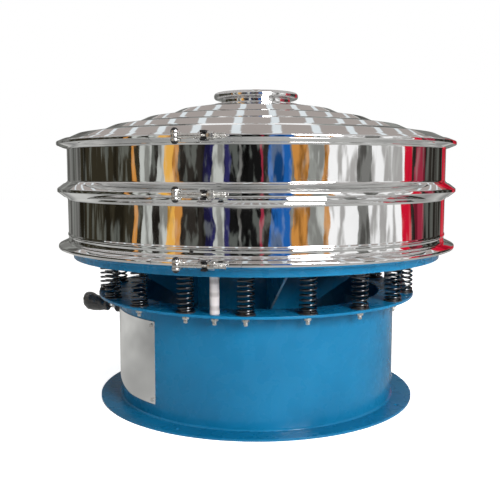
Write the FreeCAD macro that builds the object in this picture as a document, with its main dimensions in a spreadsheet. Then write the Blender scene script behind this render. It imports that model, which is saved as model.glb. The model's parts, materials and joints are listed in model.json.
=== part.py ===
"""Round vibrating sieve, one screening deck and two outlets.

A drum-shaped base carries a vibrating assembly on a circle of coil springs: a dish with the vertical
vibration motor hung in its middle, two frames with the screen clamped between them, and a lid with the
feed inlet. Everything is in millimetres, the origin is the middle of the foot flange's underside, and
+Z is up. An azimuth is counted from -Y towards +X, so that a body modelled at +X is turned by its
azimuth less 90 degrees.
"""
import FreeCAD, Part
import math
import os
import re
import Sketcher
from FreeCAD import Placement, Rotation, Vector

DIMENSIONS = {
    # base
    "foot_thickness": 8, "foot_overhang": 39, "foot_reach": 81,
    "anchor_circle_radius": 605, "anchor_margin": 35,
    "anchor_hole_radius": 9, "anchor_count": 4, "anchor_azimuth": -26.6,
    "drum_inset": 48, "drum_wall": 5, "base_height": 426,
    "spring_ring_margin": 33, "spring_ring_overhang": 54, "spring_ring_thickness": 10,
    # service covers on the drum
    "cover_azimuth": -69.8, "cover_azimuth_step": 178.3, "cover_span": 58.4, "cover_thickness": 3,
    "cover_bottom": 57, "cover_height": 308, "cover_margin": 16, "cover_screw_radius": 7,
    "cover_screw_head": 4, "window_span": 46, "window_margin": 34,
    # springs and their seats
    "spring_circle_radius": 607, "spring_count": 18, "spring_azimuth": -3.2, "spring_radius": 31,
    "spring_wire_radius": 4, "spring_turns": 8.5, "spring_length": 136,
    "seat_radius": 32, "seat_thickness": 4, "seat_boss_radius": 21, "seat_boss_height": 12,
    "nut_flats": 24, "nut_height": 14, "stud_radius": 8, "stud_end": 14,
    # transport rods
    "rod_count": 3, "rod_radius": 8, "rod_sleeve_radius": 17, "rod_top_gap": 7,
    # cable outlet
    "gland_azimuth": -104, "gland_height": 311, "gland_length": 79, "gland_radius": 22,
    "gland_stem_radius": 14, "gland_nut_length": 38, "gland_flange": 8, "cable_radius": 4,
    "lead_length": 26, "hank_length": 124, "hank_radius": 43, "hank_neck_radius": 22, "hank_rise": 28,
    # dish
    "dish_inset": 16, "dish_wall": 8, "dish_plate": 10, "dish_rim_height": 46,
    "motor_tube_radius": 245, "motor_tube_wall": 10, "motor_tube_length": 225, "motor_ring_thickness": 16,
    "gusset_count": 4, "gusset_azimuth": 10.8, "gusset_thickness": 8, "gusset_margin": 47,
    "gusset_edge": 24, "gusset_foot": 18,
    # clamped joints between dish, frames and lid
    "lip_reach": 31, "lip_gap": 3, "lip_thickness": 4, "seal_width": 16, "seal_inset": 2,
    "seal_clearance": 0.2,
    "dish_joint_rise": 20, "frame_joint_rise": 34, "lid_joint_rise": 18,
    "clamp_cover": 0.6, "clamp_depth": 8, "clamp_thickness": 3, "clamp_clearance": 0.3, "clamp_nose": 6,
    "clamp_opening": 3, "clamp_azimuth": -11.7,
    # frames and decks
    "frame_radius": 751, "frame_wall": 3, "lower_frame_height": 216, "upper_frame_height": 177,
    "bead_rise": 2.5, "bead_width": 12, "bead_lift": 46,
    "pan_thickness": 3, "pan_rise": 74, "pan_lift": 41, "pan_flat_radius": 260,
    "deck_clearance": 0.5, "deck_width": 34, "deck_top": 12, "deck_bottom": 20, "deck_flange": 1,
    "deck_flange_margin": 4,
    "screen_thickness": 1, "deck_bar_width": 20, "deck_bar_depth": 24, "deck_bar_count": 4,
    # outlets
    "spout_width": 220, "spout_height": 100, "spout_reach": 150, "spout_wall": 3, "spout_drop": 36,
    "spout_rim": 14, "spout_rim_thickness": 5, "upper_spout_azimuth": 150, "lower_spout_azimuth": -150,
    "upper_spout_lift": 40, "lower_spout_lift": 56,
    # lid and inlet
    "lid_thickness": 3, "lid_slope": 0.25, "lid_crown_radius": 211, "lid_bulge": 9, "lid_shoulder": 42,
    "lid_hole_radius": 140, "inlet_bore": 137, "inlet_wall": 3, "inlet_base_radius": 172,
    "inlet_base_thickness": 10, "inlet_neck": 18, "inlet_bead_radius": 170, "inlet_bead_round": 13,
    # closures of the clamp rings
    "closure_azimuth": -13, "closure_standoff": 25, "pivot_offset": 64, "saddle_offset": 18,
    "saddle_length": 20, "bolt_end": 96, "bolt_radius": 8, "eye_radius": 12, "eye_half_height": 7.5,
    "pin_radius": 6, "pin_clearance": 0.08, "ear_thickness": 8, "ear_radius": 13, "ear_clearance": 1,
    "bracket_web": 6, "dome_radius": 11, "dome_height": 9, "saddle_reach": 12, "slot_clearance": 0.6,
    "saddle_half_height": 16, "closure_nut_flats": 24, "closure_nut_length": 21,
    "closure_nut_gap": 1, "thread_clearance": 0.1,
    # vibration motor
    "motor_radius": 168, "motor_length": 320, "motor_drop": 140, "motor_flange_radius": 238,
    "motor_flange_thickness": 20, "motor_bolt_circle": 210, "motor_bolt_count": 8, "motor_bolt_flats": 30,
    "motor_bolt_head": 13, "motor_cavity_radius": 112, "end_wall": 30, "bell_radius": 112, "bell_depth": 28,
    "bearing_radius": 55, "bearing_length": 24, "shaft_radius": 30, "running_clearance": 0.05,
    "stator_length": 140, "rotor_core_radius": 72, "air_gap": 2,
    "weight_thickness": 52, "weight_hub_radius": 58, "upper_weight_radius": 150, "lower_weight_radius": 160,
    "weight_span": 160, "weight_gap": 12, "shaft_overhang": 8,
    "box_width": 110, "box_depth": 56, "box_height": 84, "box_lift": 18, "box_lid": 8,
}

# Heights and radii that follow from the sizes above.
DERIVED = {
    "drum_radius": "spring_circle_radius - drum_inset",
    "foot_outer_radius": "max(drum_radius + foot_reach; anchor_circle_radius + anchor_margin)",
    "foot_inner_radius": "drum_radius - foot_overhang",
    "spring_ring_outer_radius": "spring_circle_radius + spring_ring_margin",
    "spring_ring_inner_radius": "drum_radius - spring_ring_overhang",
    "dish_radius": "frame_radius - dish_inset",
    "gusset_reach": "spring_circle_radius - gusset_margin",
    "lid_step": "(frame_radius - lid_crown_radius) / 4",
    "deck_flange_radius": "lip_radius - deck_flange_margin",
    "ring_underside": "base_height - spring_ring_thickness",
    "dish_bottom": "base_height + seat_thickness * 2 + spring_length",
    "lower_joint": "dish_bottom + dish_rim_height",
    "middle_joint": "lower_joint + lower_frame_height",
    "lid_joint": "middle_joint + upper_frame_height",
    "lip_radius": "frame_radius + lip_reach",
    "clamp_radius": "lip_radius + clamp_depth",
    "frame_bore": "frame_radius - frame_wall",
    "deck_radius": "frame_bore - deck_clearance",
    "lid_top": "lid_joint + lid_joint_rise + lid_slope * lid_step * 4",
    "motor_seat": "dish_bottom - motor_tube_length",
    "motor_bottom": "motor_seat - motor_drop",
    "motor_top": "motor_bottom + motor_length",
    "motor_middle": "motor_bottom + motor_length / 2",
    "shaft_bottom": "motor_bottom - weight_gap - weight_thickness - shaft_overhang",
    "shaft_top": "motor_top + weight_gap + weight_thickness + shaft_overhang",
    "closure_radius": "clamp_radius + closure_standoff",
    "ear_start": "eye_half_height + ear_clearance",
    "cover_turn": "cover_span / 2 - cover_margin / drum_radius * 180 / pi",
    "pan_edge": "lower_joint + pan_lift",
    "bead_height": "lower_joint + bead_lift",
    "gland_end": "drum_radius + gland_length",
}

JOINTS = {
    "lower": ("lower_joint", "dish_joint_rise", "dish_radius"),
    "middle": ("middle_joint", "frame_joint_rise", "frame_radius"),
    "upper": ("lid_joint", "lid_joint_rise", "frame_radius"),
}

doc = FreeCAD.newDocument("VibratingSieve")
sheet = doc.addObject("Spreadsheet::Sheet", "Dimensions")
for row, (alias, size) in enumerate(DIMENSIONS.items(), 1):
    sheet.set(f"A{row}", alias)
    sheet.set(f"B{row}", str(size))
    sheet.setAlias(f"B{row}", alias)
doc.recompute()

parts = {}


# ---------------------------------------------------------------- helpers


def full(expression):
    """The expression with derived sizes written out and the sheet's name before each dimension."""
    def spelled(word):
        if word[0] in DERIVED:
            return f"({full(DERIVED[word[0]])})"
        return f"Dimensions.{word[0]}" if word[0] in DIMENSIONS else word[0]

    return re.sub(r"[a-z][a-z_]*", spelled, expression)


def number(expression):
    """What the expression comes to now."""
    return float(sheet.evalExpression(full(expression)))


def origin_feature(body, role):
    return next(feature for feature in body.Origin.OriginFeatures if feature.Role == role)


def new_body(label, azimuth=None, keep=True):
    """A body that may hold separate solids. With an azimuth, what is modelled at +X faces that way."""
    body = doc.addObject("PartDesign::Body", label)
    body.Label = label
    body.AllowCompound = True
    if azimuth is not None:
        body.setExpression("Placement.Rotation.Angle", f"({full(azimuth)} - 90) * 1 deg")
    if keep:
        parts[label] = body
    return body


def new_sketch(body, role, lift=None):
    """A sketch on one of the body's origin planes, lifted along the plane's normal."""
    sketch = body.newObject("Sketcher::SketchObject", f"{body.Label}_{role[:2]}_sketch")
    sketch.AttachmentSupport = [(origin_feature(body, role), "")]
    sketch.MapMode = "FlatFace"
    if lift:
        sketch.setExpression("AttachmentOffset.Base.z", full(lift))
    return sketch


def bind_point(sketch, geometry, point, x, y):
    """Tie a point of the sketch to two expressions."""
    for kind, text, axis in (("DistanceX", x, -2), ("DistanceY", y, -1)):
        size = number(text)
        if abs(size) < 1e-9:
            sketch.addConstraint(Sketcher.Constraint("PointOnObject", geometry, point, axis))
            continue
        index = sketch.addConstraint(Sketcher.Constraint(kind, -1, 1, geometry, point, size))
        sketch.setExpression(f"Constraints[{index}]", full(text))


def outline(sketch, corners):
    """A closed outline. A corner is (x, y), or (x, y, radius) where an arc leads to the next corner.

    The arc's centre lies left of the way to the next corner, or right of it where the radius starts
    with a minus sign.
    """
    places = [Vector(number(corner[0]), number(corner[1]), 0) for corner in corners]
    ends = []
    for index, corner in enumerate(corners):
        start, stop = places[index], places[(index + 1) % len(places)]
        if len(corner) == 2:
            sketch.addGeometry(Part.LineSegment(start, stop), False)
            ends.append((1, 2))
            continue
        side = -1 if corner[2].startswith("-") else 1
        radius = abs(number(corner[2]))
        along = stop - start
        left = Vector(-along.y, along.x, 0) / along.Length
        centre = (start + stop) / 2 + left * side * math.sqrt(max(0, radius ** 2 - along.Length ** 2 / 4))
        first, last = (start, stop) if side > 0 else (stop, start)
        angles = [math.atan2(place.y - centre.y, place.x - centre.x) for place in (first, last)]
        sketch.addGeometry(Part.ArcOfCircle(Part.Circle(centre, Vector(0, 0, 1), radius), *angles), False)
        ends.append((1, 2) if side > 0 else (2, 1))
    for index in range(len(corners)):
        following = (index + 1) % len(corners)
        sketch.addConstraint(
            Sketcher.Constraint("Coincident", index, ends[index][1], following, ends[following][0])
        )
    for index, corner in enumerate(corners):
        bind_point(sketch, index, ends[index][0], corner[0], corner[1])
        if len(corner) == 3:
            radius = Sketcher.Constraint("Radius", index, abs(number(corner[2])))
            place = sketch.addConstraint(radius)
            sketch.setExpression(f"Constraints[{place}]", full(corner[2].lstrip("-")))
    return sketch


def rectangle(sketch, left, bottom, right, top):
    return outline(sketch, [(left, bottom), (right, bottom), (right, top), (left, top)])


def circle(sketch, x, y, radius):
    place = Vector(number(x), number(y), 0)
    index = sketch.addGeometry(Part.Circle(place, Vector(0, 0, 1), number(radius)), False)
    bind_point(sketch, index, 3, x, y)
    constraint = sketch.addConstraint(Sketcher.Constraint("Radius", index, number(radius)))
    sketch.setExpression(f"Constraints[{constraint}]", full(radius))
    return sketch


def polygon(sketch, x, apothem, y="0", sides=6):
    """A regular polygon about (x, y), its flats that far from the middle."""
    corners = []
    for index in range(sides):
        turn = f"{360 * (index + 0.5) / sides} deg"
        reach = f"({apothem}) / cos({180 / sides} deg)"
        corners.append((f"({x}) + {reach} * cos({turn})", f"({y}) + {reach} * sin({turn})"))
    return outline(sketch, corners)


def turned(body, sketch, span="360", axis="V_Axis", cut=False, midplane=False):
    """A sketch turned about its own vertical axis, or about a line of construction in it."""
    kind = "PartDesign::Groove" if cut else "PartDesign::Revolution"
    feature = body.newObject(kind, f"{body.Label}_turned")
    feature.Profile = sketch
    feature.ReferenceAxis = (sketch, [axis])
    feature.Midplane = midplane
    feature.setExpression("Angle", full(span))
    body.Tip = feature
    return feature


def padded(body, sketch, length, midplane=False, reverse=False):
    feature = body.newObject("PartDesign::Pad", f"{body.Label}_pad")
    feature.Profile = sketch
    feature.setExpression("Length", full(length))
    feature.Midplane = midplane
    feature.Reversed = reverse
    body.Tip = feature
    return feature


def pocketed(body, sketch, length, midplane=True):
    """A cut that runs the given length, half to each side of the sketch."""
    feature = body.newObject("PartDesign::Pocket", f"{body.Label}_pocket")
    feature.Profile = sketch
    feature.setExpression("Length", full(length))
    feature.Midplane = midplane
    body.Tip = feature
    return feature


def patterned(body, features, count, span="360"):
    """Copies of the features round the body's Z axis."""
    feature = body.newObject("PartDesign::PolarPattern", f"{body.Label}_pattern")
    feature.Originals = features
    feature.Axis = (origin_feature(body, "Z_Axis"), [""])
    feature.setExpression("Angle", full(span))
    feature.setExpression("Occurrences", full(count))
    body.Tip = feature
    return feature


def ring(label, corners, span="360", azimuth=None):
    """A body turned about Z from one outline of radius and height."""
    body = new_body(label, azimuth)
    turned(body, outline(new_sketch(body, "XZ_Plane"), corners), span)
    return body


def band(inner, bottom, outer, top):
    """The outline of a plain ring."""
    return [(inner, bottom), (outer, bottom), (outer, top), (inner, top)]


def spindle(body, x, corners):
    """An outline of (distance from the axis, height), turned about the vertical line at x."""
    shifted = [(f"({x}) + {corner[0]}", *corner[1:]) for corner in corners]
    sketch = outline(new_sketch(body, "XZ_Plane"), shifted)
    line = Part.LineSegment(Vector(number(x), 0, 0), Vector(number(x), 100, 0))
    index = sketch.addGeometry(line, True)
    sketch.addConstraint(Sketcher.Constraint("Vertical", index))
    bind_point(sketch, index, 1, x, "0")
    sketch.addConstraint(Sketcher.Constraint("DistanceY", index, 1, index, 2, 100.0))
    return turned(body, sketch, axis="Axis0")


def group(label, x, corners, count, azimuth):
    """Turned pieces all round a circle, in one body."""
    body = new_body(label, azimuth)
    patterned(body, [spindle(body, x, corners)], count)
    return body


def prisms(label, azimuth, count, radius, stack):
    """Stacks of upright prisms round a circle, each level a (bottom, apothem, height, sides)."""
    body = new_body(label, azimuth)
    levels = []
    for bottom, apothem, height, sides in stack:
        sketch = polygon(new_sketch(body, "XY_Plane", bottom), radius, apothem, sides=sides)
        levels.append(padded(body, sketch, height))
    patterned(body, levels, count)


# ---------------------------------------------------------------- base


def foot_flange():
    corners = band("foot_inner_radius", "0", "foot_outer_radius", "foot_thickness")
    body = ring("foot_flange", corners, azimuth="anchor_azimuth")
    hole = circle(new_sketch(body, "XY_Plane"), "anchor_circle_radius", "0", "anchor_hole_radius")
    patterned(body, [pocketed(body, hole, "foot_thickness * 4")], "anchor_count")


def base_drum():
    """The drum's wall, with a window behind each service cover."""
    body = new_body("base_drum", "cover_azimuth")
    wall = band("drum_radius - drum_wall", "foot_thickness", "drum_radius", "ring_underside")
    turned(body, outline(new_sketch(body, "XZ_Plane"), wall))
    window = rectangle(
        new_sketch(body, "XZ_Plane"),
        "drum_radius - drum_wall * 3", "cover_bottom + window_margin",
        "drum_radius + drum_wall * 2", "cover_bottom + cover_height - window_margin",
    )
    opening = turned(body, window, "window_span", cut=True, midplane=True)
    patterned(body, [opening], "2", "cover_azimuth_step")


def spring_ring():
    section = band("spring_ring_inner_radius", "ring_underside", "spring_ring_outer_radius", "base_height")
    ring("spring_ring", section)


def service_covers():
    """Two polished plates rolled to the drum, each held by four screws."""
    for side, azimuth in (("left", "cover_azimuth"), ("right", "cover_azimuth + cover_azimuth_step")):
        body = new_body(f"{side}_cover", azimuth)
        plate = rectangle(
            new_sketch(body, "XZ_Plane"),
            "drum_radius", "cover_bottom", "drum_radius + cover_thickness", "cover_bottom + cover_height",
        )
        turned(body, plate, "cover_span", midplane=True)
        screws = new_body(f"{side}_cover_screws", f"{azimuth} - cover_turn")
        heads = []
        for height in ("cover_bottom + cover_margin", "cover_bottom + cover_height - cover_margin"):
            face = new_sketch(screws, "YZ_Plane", "drum_radius + cover_thickness")
            heads.append(padded(screws, polygon(face, "0", "cover_screw_radius", height), "cover_screw_head"))
        patterned(screws, heads, "2", "cover_turn * 2")


def level_axis(sketch, height):
    """A level line of construction at that height, for pieces turned about it."""
    line = Part.LineSegment(Vector(0, number(height), 0), Vector(100, number(height), 0))
    index = sketch.addGeometry(line, True)
    sketch.addConstraint(Sketcher.Constraint("Horizontal", index))
    bind_point(sketch, index, 1, "0", height)
    sketch.addConstraint(Sketcher.Constraint("DistanceX", index, 1, index, 2, 100.0))


def cable_gland():
    """The gland stands out from the drum, turned about its own level axis."""
    body = new_body("cable_gland", "gland_azimuth")
    sketch = new_sketch(body, "XZ_Plane")
    stem, rim = "gland_height + gland_stem_radius", "gland_height + gland_radius"
    outline(sketch, [
        ("drum_radius", "gland_height"), ("gland_end", "gland_height"), ("gland_end", stem),
        ("gland_end - gland_flange", rim), ("gland_end - gland_nut_length", rim),
        ("gland_end - gland_nut_length", stem), ("drum_radius + gland_flange", stem),
        ("drum_radius + gland_flange", rim), ("drum_radius", rim),
    ])
    level_axis(sketch, "gland_height")
    turned(body, sketch, axis="Axis0")


def cable():
    """The motor's cable: a short lead out of the gland and the tied hank of what is left of it."""
    lead = new_body("cable_lead", "gland_azimuth")
    section = circle(new_sketch(lead, "YZ_Plane", "gland_end"), "0", "gland_height", "cable_radius")
    padded(lead, section, "lead_length")
    hank = new_body("cable_hank", "gland_azimuth")
    sections = []
    for share, radius in (
        ("0", "hank_neck_radius / 2"), ("0.1", "hank_neck_radius"), ("0.55", "hank_radius * 0.88"),
        ("0.75", "hank_radius"), ("0.93", "hank_radius * 0.75"), ("1", "hank_radius * 0.4"),
    ):
        sketch = new_sketch(hank, "YZ_Plane", f"gland_end + lead_length + hank_length * {share}")
        height = f"gland_height + hank_rise * {share}"
        sections.append(polygon(sketch, "0", radius, height, sides=10))
    loft = hank.newObject("PartDesign::AdditiveLoft", "cable_hank_loft")
    loft.Profile = sections[0]
    loft.Sections = sections[1:]
    loft.Ruled = True
    hank.Tip = loft


# ---------------------------------------------------------------- springs and transport rods


def spring_seats():
    """A disc and a boss that hold each spring's end, on the ring below and on the dish above."""
    upper_disc = "dish_bottom - seat_thickness"
    for label, disc, boss in (
        ("lower_spring_seats", "base_height", "base_height + seat_thickness"),
        ("upper_spring_seats", upper_disc, f"{upper_disc} - seat_boss_height"),
    ):
        prisms(label, "spring_azimuth", "spring_count", "spring_circle_radius", [
            (disc, "seat_radius", "seat_thickness", 12), (boss, "seat_boss_radius", "seat_boss_height", 8),
        ])


def fasteners_below(label, azimuth, count):
    """A nut and the end of its stud under the spring ring, all round the spring circle."""
    prisms(label, azimuth, count, "spring_circle_radius", [
        ("ring_underside - nut_height", "nut_flats / 2", "nut_height", 6),
        ("ring_underside - nut_height - stud_end", "stud_radius", "stud_end", 6),
    ])


def transport_rods():
    """Rods that carry the dish in transit, each in a sleeve, midway between two springs."""
    azimuth = "spring_azimuth - 180 / spring_count"
    top = "dish_bottom - rod_top_gap"
    group("transport_rods", "spring_circle_radius", [
        ("0", "base_height"), ("rod_radius", "base_height"), ("rod_radius", top), ("0", top),
    ], "rod_count", azimuth)
    group("rod_sleeves", "spring_circle_radius", [
        ("rod_radius", "base_height"), ("rod_sleeve_radius", "base_height"),
        ("rod_sleeve_radius", top), ("rod_radius", top),
    ], "rod_count", azimuth)
    fasteners_below("rod_nuts", azimuth, "rod_count")


def springs():
    """Compression springs of round pitch, swept along a helix of straight spans to keep them light."""
    body = doc.addObject("Part::Feature", "springs")
    body.Label = "springs"
    spans_per_turn = 6
    wire = number("spring_wire_radius")
    centre_radius = number("spring_radius - spring_wire_radius")
    bottom = number("base_height + seat_thickness") + wire
    rise = number("spring_length") - 2 * wire
    turns = number("spring_turns")
    spans = round(turns * spans_per_turn)
    reach = centre_radius / math.cos(math.pi / spans_per_turn) * 0.5 + centre_radius * 0.5
    sections = []
    for index in range(spans + 1):
        angle = 2 * math.pi * turns * index / spans
        # the wire's section stands upright on the spring's radius
        outward = Vector(math.cos(angle), math.sin(angle), 0)
        middle = outward * reach + Vector(0, 0, bottom + rise * index / spans)
        sections.append([middle + outward * wire, middle + Vector(0, 0, wire) - outward * wire * 0.3,
                         middle - Vector(0, 0, wire) - outward * wire * 0.3])
    faces = []
    for lower, upper in zip(sections, sections[1:]):
        for side in range(3):
            following = (side + 1) % 3
            corners = (lower[side], lower[following], upper[following], upper[side])
            faces.append(Part.Face(Part.makePolygon([corners[0], corners[1], corners[2], corners[0]])))
            faces.append(Part.Face(Part.makePolygon([corners[0], corners[2], corners[3], corners[0]])))
    for end in (sections[0], sections[-1]):
        faces.append(Part.Face(Part.makePolygon(end + end[:1])))
    spring = Part.Solid(Part.makeShell(faces))
    if spring.Volume < 0:
        spring.reverse()
    spring.translate(Vector(number("spring_circle_radius"), 0, 0))
    step = 360 / number("spring_count")
    axis = Vector(0, 0, 1)
    copies = []
    for index in range(round(number("spring_count"))):
        copies.append(spring.rotated(Vector(0, 0, 0), axis, step * index))
    body.Shape = Part.makeCompound(copies)
    body.Placement = Placement(Vector(0, 0, 0), Rotation(axis, number("spring_azimuth") - 90))
    parts["springs"] = body


# ---------------------------------------------------------------- dish


def vibrating_dish():
    """The flat plate that the springs carry, its rim, and the rim's lip for the lower clamp ring."""
    tip_inner, tip_outer = "lower_joint - lip_gap", "lower_joint - lip_gap - lip_thickness"
    ring("vibrating_dish", [
        ("motor_tube_radius - motor_tube_wall", "dish_bottom"), ("dish_radius", "dish_bottom"),
        ("dish_radius", "lower_joint - dish_joint_rise"), ("lip_radius", tip_outer), ("lip_radius", tip_inner),
        ("dish_radius - dish_wall", "lower_joint - dish_joint_rise + dish_wall / 2"),
        ("dish_radius - dish_wall", "dish_bottom + dish_plate"),
        ("motor_tube_radius - motor_tube_wall", "dish_bottom + dish_plate"),
    ])


def motor_tube():
    """The tube that hangs the motor under the dish, with the ring that its flange bolts to."""
    bore = "motor_tube_radius - motor_tube_wall"
    ring("motor_tube", [
        ("motor_radius + air_gap", "motor_seat"), ("motor_tube_radius", "motor_seat"),
        ("motor_tube_radius", "dish_bottom"), (bore, "dish_bottom"),
        (bore, "motor_seat + motor_ring_thickness"),
        ("motor_radius + air_gap", "motor_seat + motor_ring_thickness"),
    ])


def gussets():
    """Ribs from the motor's tube out to the dish's plate."""
    body = new_body("gussets", "gusset_azimuth")
    rib = outline(new_sketch(body, "XZ_Plane"), [
        ("motor_tube_radius + gusset_thickness / 20", "motor_seat + gusset_foot"),
        ("motor_tube_radius + gusset_foot", "motor_seat + gusset_foot"),
        ("gusset_reach", "dish_bottom - gusset_edge"), ("gusset_reach", "dish_bottom"),
        ("motor_tube_radius + gusset_thickness / 20", "dish_bottom"),
    ])
    patterned(body, [padded(body, rib, "gusset_thickness", midplane=True)], "gusset_count")


# ---------------------------------------------------------------- clamped joints


def lip_offset(rise, share):
    """How far the outside of a lip stands off its joint, from 0 at the tip to 1 at the root."""
    return f"lip_gap + lip_thickness + ({share}) * ({rise} - lip_gap - lip_thickness)"


def seal_offset(drop, run, reach):
    """How far a seal reaches from its joint, along a lip that falls away by drop over run."""
    return f"lip_gap + ({reach}) * ({drop}) / ({run}) - seal_clearance"


def seals():
    """Rubber rings wedged between the lips of each joint; the middle one takes the screen's flange."""
    outer, inner = "lip_radius - seal_inset", "lip_radius - seal_inset - seal_width"
    to_wall = "lip_radius - frame_bore"
    to_dish, dish_drop = "lip_radius - dish_radius + dish_wall", "dish_joint_rise - lip_gap - dish_wall / 2"
    dish = seal_offset(dish_drop, to_dish, "seal_inset")
    frame = seal_offset("dish_joint_rise - lip_gap - lip_thickness", to_wall, "seal_inset")
    cover = seal_offset("lid_joint_rise - lip_gap - lip_thickness", to_wall, "seal_inset")
    ring("lower_seal", band(inner, f"lower_joint - ({dish})", outer, f"lower_joint + {frame}"))
    ring("upper_seal", band(inner, f"lid_joint - ({cover})", outer, f"lid_joint + {cover}"))
    near, far = (
        seal_offset("frame_joint_rise - lip_gap - lip_thickness", to_wall, reach)
        for reach in ("seal_inset", "seal_inset + seal_width")
    )
    ring("middle_seal", [
        (inner, f"middle_joint - ({far})"), (outer, f"middle_joint - ({near})"),
        (outer, f"middle_joint + {near}"), (inner, f"middle_joint + {far}"),
        (inner, "middle_joint + deck_flange"), ("deck_flange_radius", "middle_joint + deck_flange"),
        ("deck_flange_radius", "middle_joint - deck_flange"), (inner, "middle_joint - deck_flange"),
    ])


def clamp_rings():
    """V-section bands that draw each pair of lips together, open for a few degrees at the closure."""
    for name, (joint, rise, lower_root) in JOINTS.items():
        upper_edge = "lip_radius - clamp_cover * (lip_radius - frame_radius)"
        lower_edge = f"lip_radius - clamp_cover * (lip_radius - {lower_root})"
        leg = f"{lip_offset(rise, 'clamp_cover')} + clamp_clearance"
        tip = "lip_gap + lip_thickness + clamp_clearance"
        ring(f"{name}_clamp_ring", [
            (lower_edge, f"{joint} - ({leg})"), (lower_edge, f"{joint} - ({leg} + clamp_thickness)"),
            ("clamp_radius", f"{joint} - clamp_nose"), ("clamp_radius", f"{joint} + clamp_nose"),
            (upper_edge, f"{joint} + {leg} + clamp_thickness"), (upper_edge, f"{joint} + {leg}"),
            ("lip_radius + clamp_clearance", f"{joint} + {tip}"),
            ("lip_radius + clamp_clearance", f"{joint} - ({tip})"),
        ], "360 - clamp_opening", "clamp_azimuth")


# ---------------------------------------------------------------- frames and decks


def spout(label, azimuth, floor):
    """A sloping outlet with a rim at its mouth, seated on the frame's wall. The body stays open inside."""
    body = new_body(label, azimuth)
    root, mouth = "frame_radius - 60", "frame_radius + spout_reach"
    top = f"{floor} + spout_height"
    side = outline(new_sketch(body, "XZ_Plane"), [
        (root, f"{floor} - spout_wall"), ("frame_radius + spout_wall", f"{floor} - spout_wall"),
        (mouth, f"{floor} - spout_drop - spout_wall"), (mouth, f"{top} - spout_drop + spout_wall"),
        ("frame_radius + spout_wall", f"{top} + spout_wall"), (root, f"{top} + spout_wall"),
    ])
    padded(body, side, "spout_width", midplane=True)
    rim = rectangle(
        new_sketch(body, "XZ_Plane"), f"{mouth} - spout_rim_thickness", f"{floor} - spout_drop - spout_rim",
        mouth, f"{top} - spout_drop + spout_rim",
    )
    padded(body, rim, "spout_width + spout_rim * 2", midplane=True)
    way = outline(new_sketch(body, "XZ_Plane"), [
        (f"{root} - 10", floor), ("frame_radius + spout_wall", floor), (mouth, f"{floor} - spout_drop"),
        (f"{mouth} + 10", f"{floor} - spout_drop"), (f"{mouth} + 10", f"{top} - spout_drop"),
        (mouth, f"{top} - spout_drop"), ("frame_radius + spout_wall", top), (f"{root} - 10", top),
    ])
    pocketed(body, way, "spout_width - spout_wall * 2")
    inside = rectangle(new_sketch(body, "XZ_Plane"), "0", f"{floor} - 40", "frame_radius", f"{top} + 40")
    turned(body, inside, cut=True)


def frame_wall_window(body, floor):
    """The outlet's window, cut square through the frame's wall at +X."""
    side = rectangle(
        new_sketch(body, "XZ_Plane"),
        "frame_radius - 80", floor, "frame_radius + 20", f"{floor} + spout_height",
    )
    pocketed(body, side, "spout_width - spout_wall * 2")


def lip(joint, rise, side):
    """The corners of a lip that flares from the frame's wall, from its root outside to its root inside."""
    return [
        ("frame_radius", f"{joint} {side} {rise}"),
        ("lip_radius", f"{joint} {side} (lip_gap + lip_thickness)"),
        ("lip_radius", f"{joint} {side} lip_gap"),
        ("frame_bore", f"{joint} {side} ({rise} - lip_thickness)"),
    ]


def frames():
    """The lower frame with its bead, and the upper frame, each with a lip at both ends."""
    bead = [
        ("frame_radius", "bead_height - bead_width / 2"),
        ("frame_radius + bead_rise", "bead_height - bead_width / 4"),
        ("frame_radius + bead_rise", "bead_height + bead_width / 4"),
        ("frame_radius", "bead_height + bead_width / 2"),
    ]
    below = lip("lower_joint", "dish_joint_rise", "+")
    above = lip("middle_joint", "frame_joint_rise", "-")
    lower = ring("lower_frame", below[::-1] + bead + above, azimuth="lower_spout_azimuth")
    frame_wall_window(lower, "lower_joint + lower_spout_lift")
    below = lip("middle_joint", "frame_joint_rise", "+")
    above = lip("lid_joint", "lid_joint_rise", "-")
    upper = ring("upper_frame", below[::-1] + above, azimuth="upper_spout_azimuth")
    frame_wall_window(upper, "middle_joint + upper_spout_lift")
    spout("lower_spout", "lower_spout_azimuth", "lower_joint + lower_spout_lift")
    spout("upper_spout", "upper_spout_azimuth", "middle_joint + upper_spout_lift")


def discharge_pan():
    """The pan under the screen, raised in the middle so that what falls through runs to the outlet."""
    ring("discharge_pan", [
        ("0", "pan_edge + pan_rise"), ("pan_flat_radius", "pan_edge + pan_rise"),
        ("frame_bore", "pan_edge"), ("frame_bore", "pan_edge + pan_thickness"),
        ("pan_flat_radius", "pan_edge + pan_rise + pan_thickness"),
        ("0", "pan_edge + pan_rise + pan_thickness"),
    ])


def screen():
    """The screen's frame, with a flange for the seal and cross bars under the cloth, and the cloth."""
    inner = "deck_radius - deck_width"
    top, bottom = "middle_joint + deck_top", "middle_joint - deck_bottom"
    frame = ring("screen_frame", [
        (inner, bottom), ("deck_radius", bottom), ("deck_radius", "middle_joint - deck_flange"),
        ("deck_flange_radius", "middle_joint - deck_flange"),
        ("deck_flange_radius", "middle_joint + deck_flange"),
        ("deck_radius", "middle_joint + deck_flange"), ("deck_radius", top), (inner, top),
    ])
    bar = rectangle(
        new_sketch(frame, "XY_Plane", f"{top} - deck_bar_depth"),
        "deck_bar_width / -2", "deck_bar_width / -2", f"{inner} + deck_width / 2", "deck_bar_width / 2",
    )
    patterned(frame, [padded(frame, bar, "deck_bar_depth")], "deck_bar_count")
    ring("screen_cloth", band("0", top, "deck_radius", f"{top} + screen_thickness"))


# ---------------------------------------------------------------- lid and inlet


def lid_height(radius):
    """The height of the lid's creases, which lie on one cone."""
    return f"lid_joint + lid_joint_rise + lid_slope * (frame_radius - ({radius}))"


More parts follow.
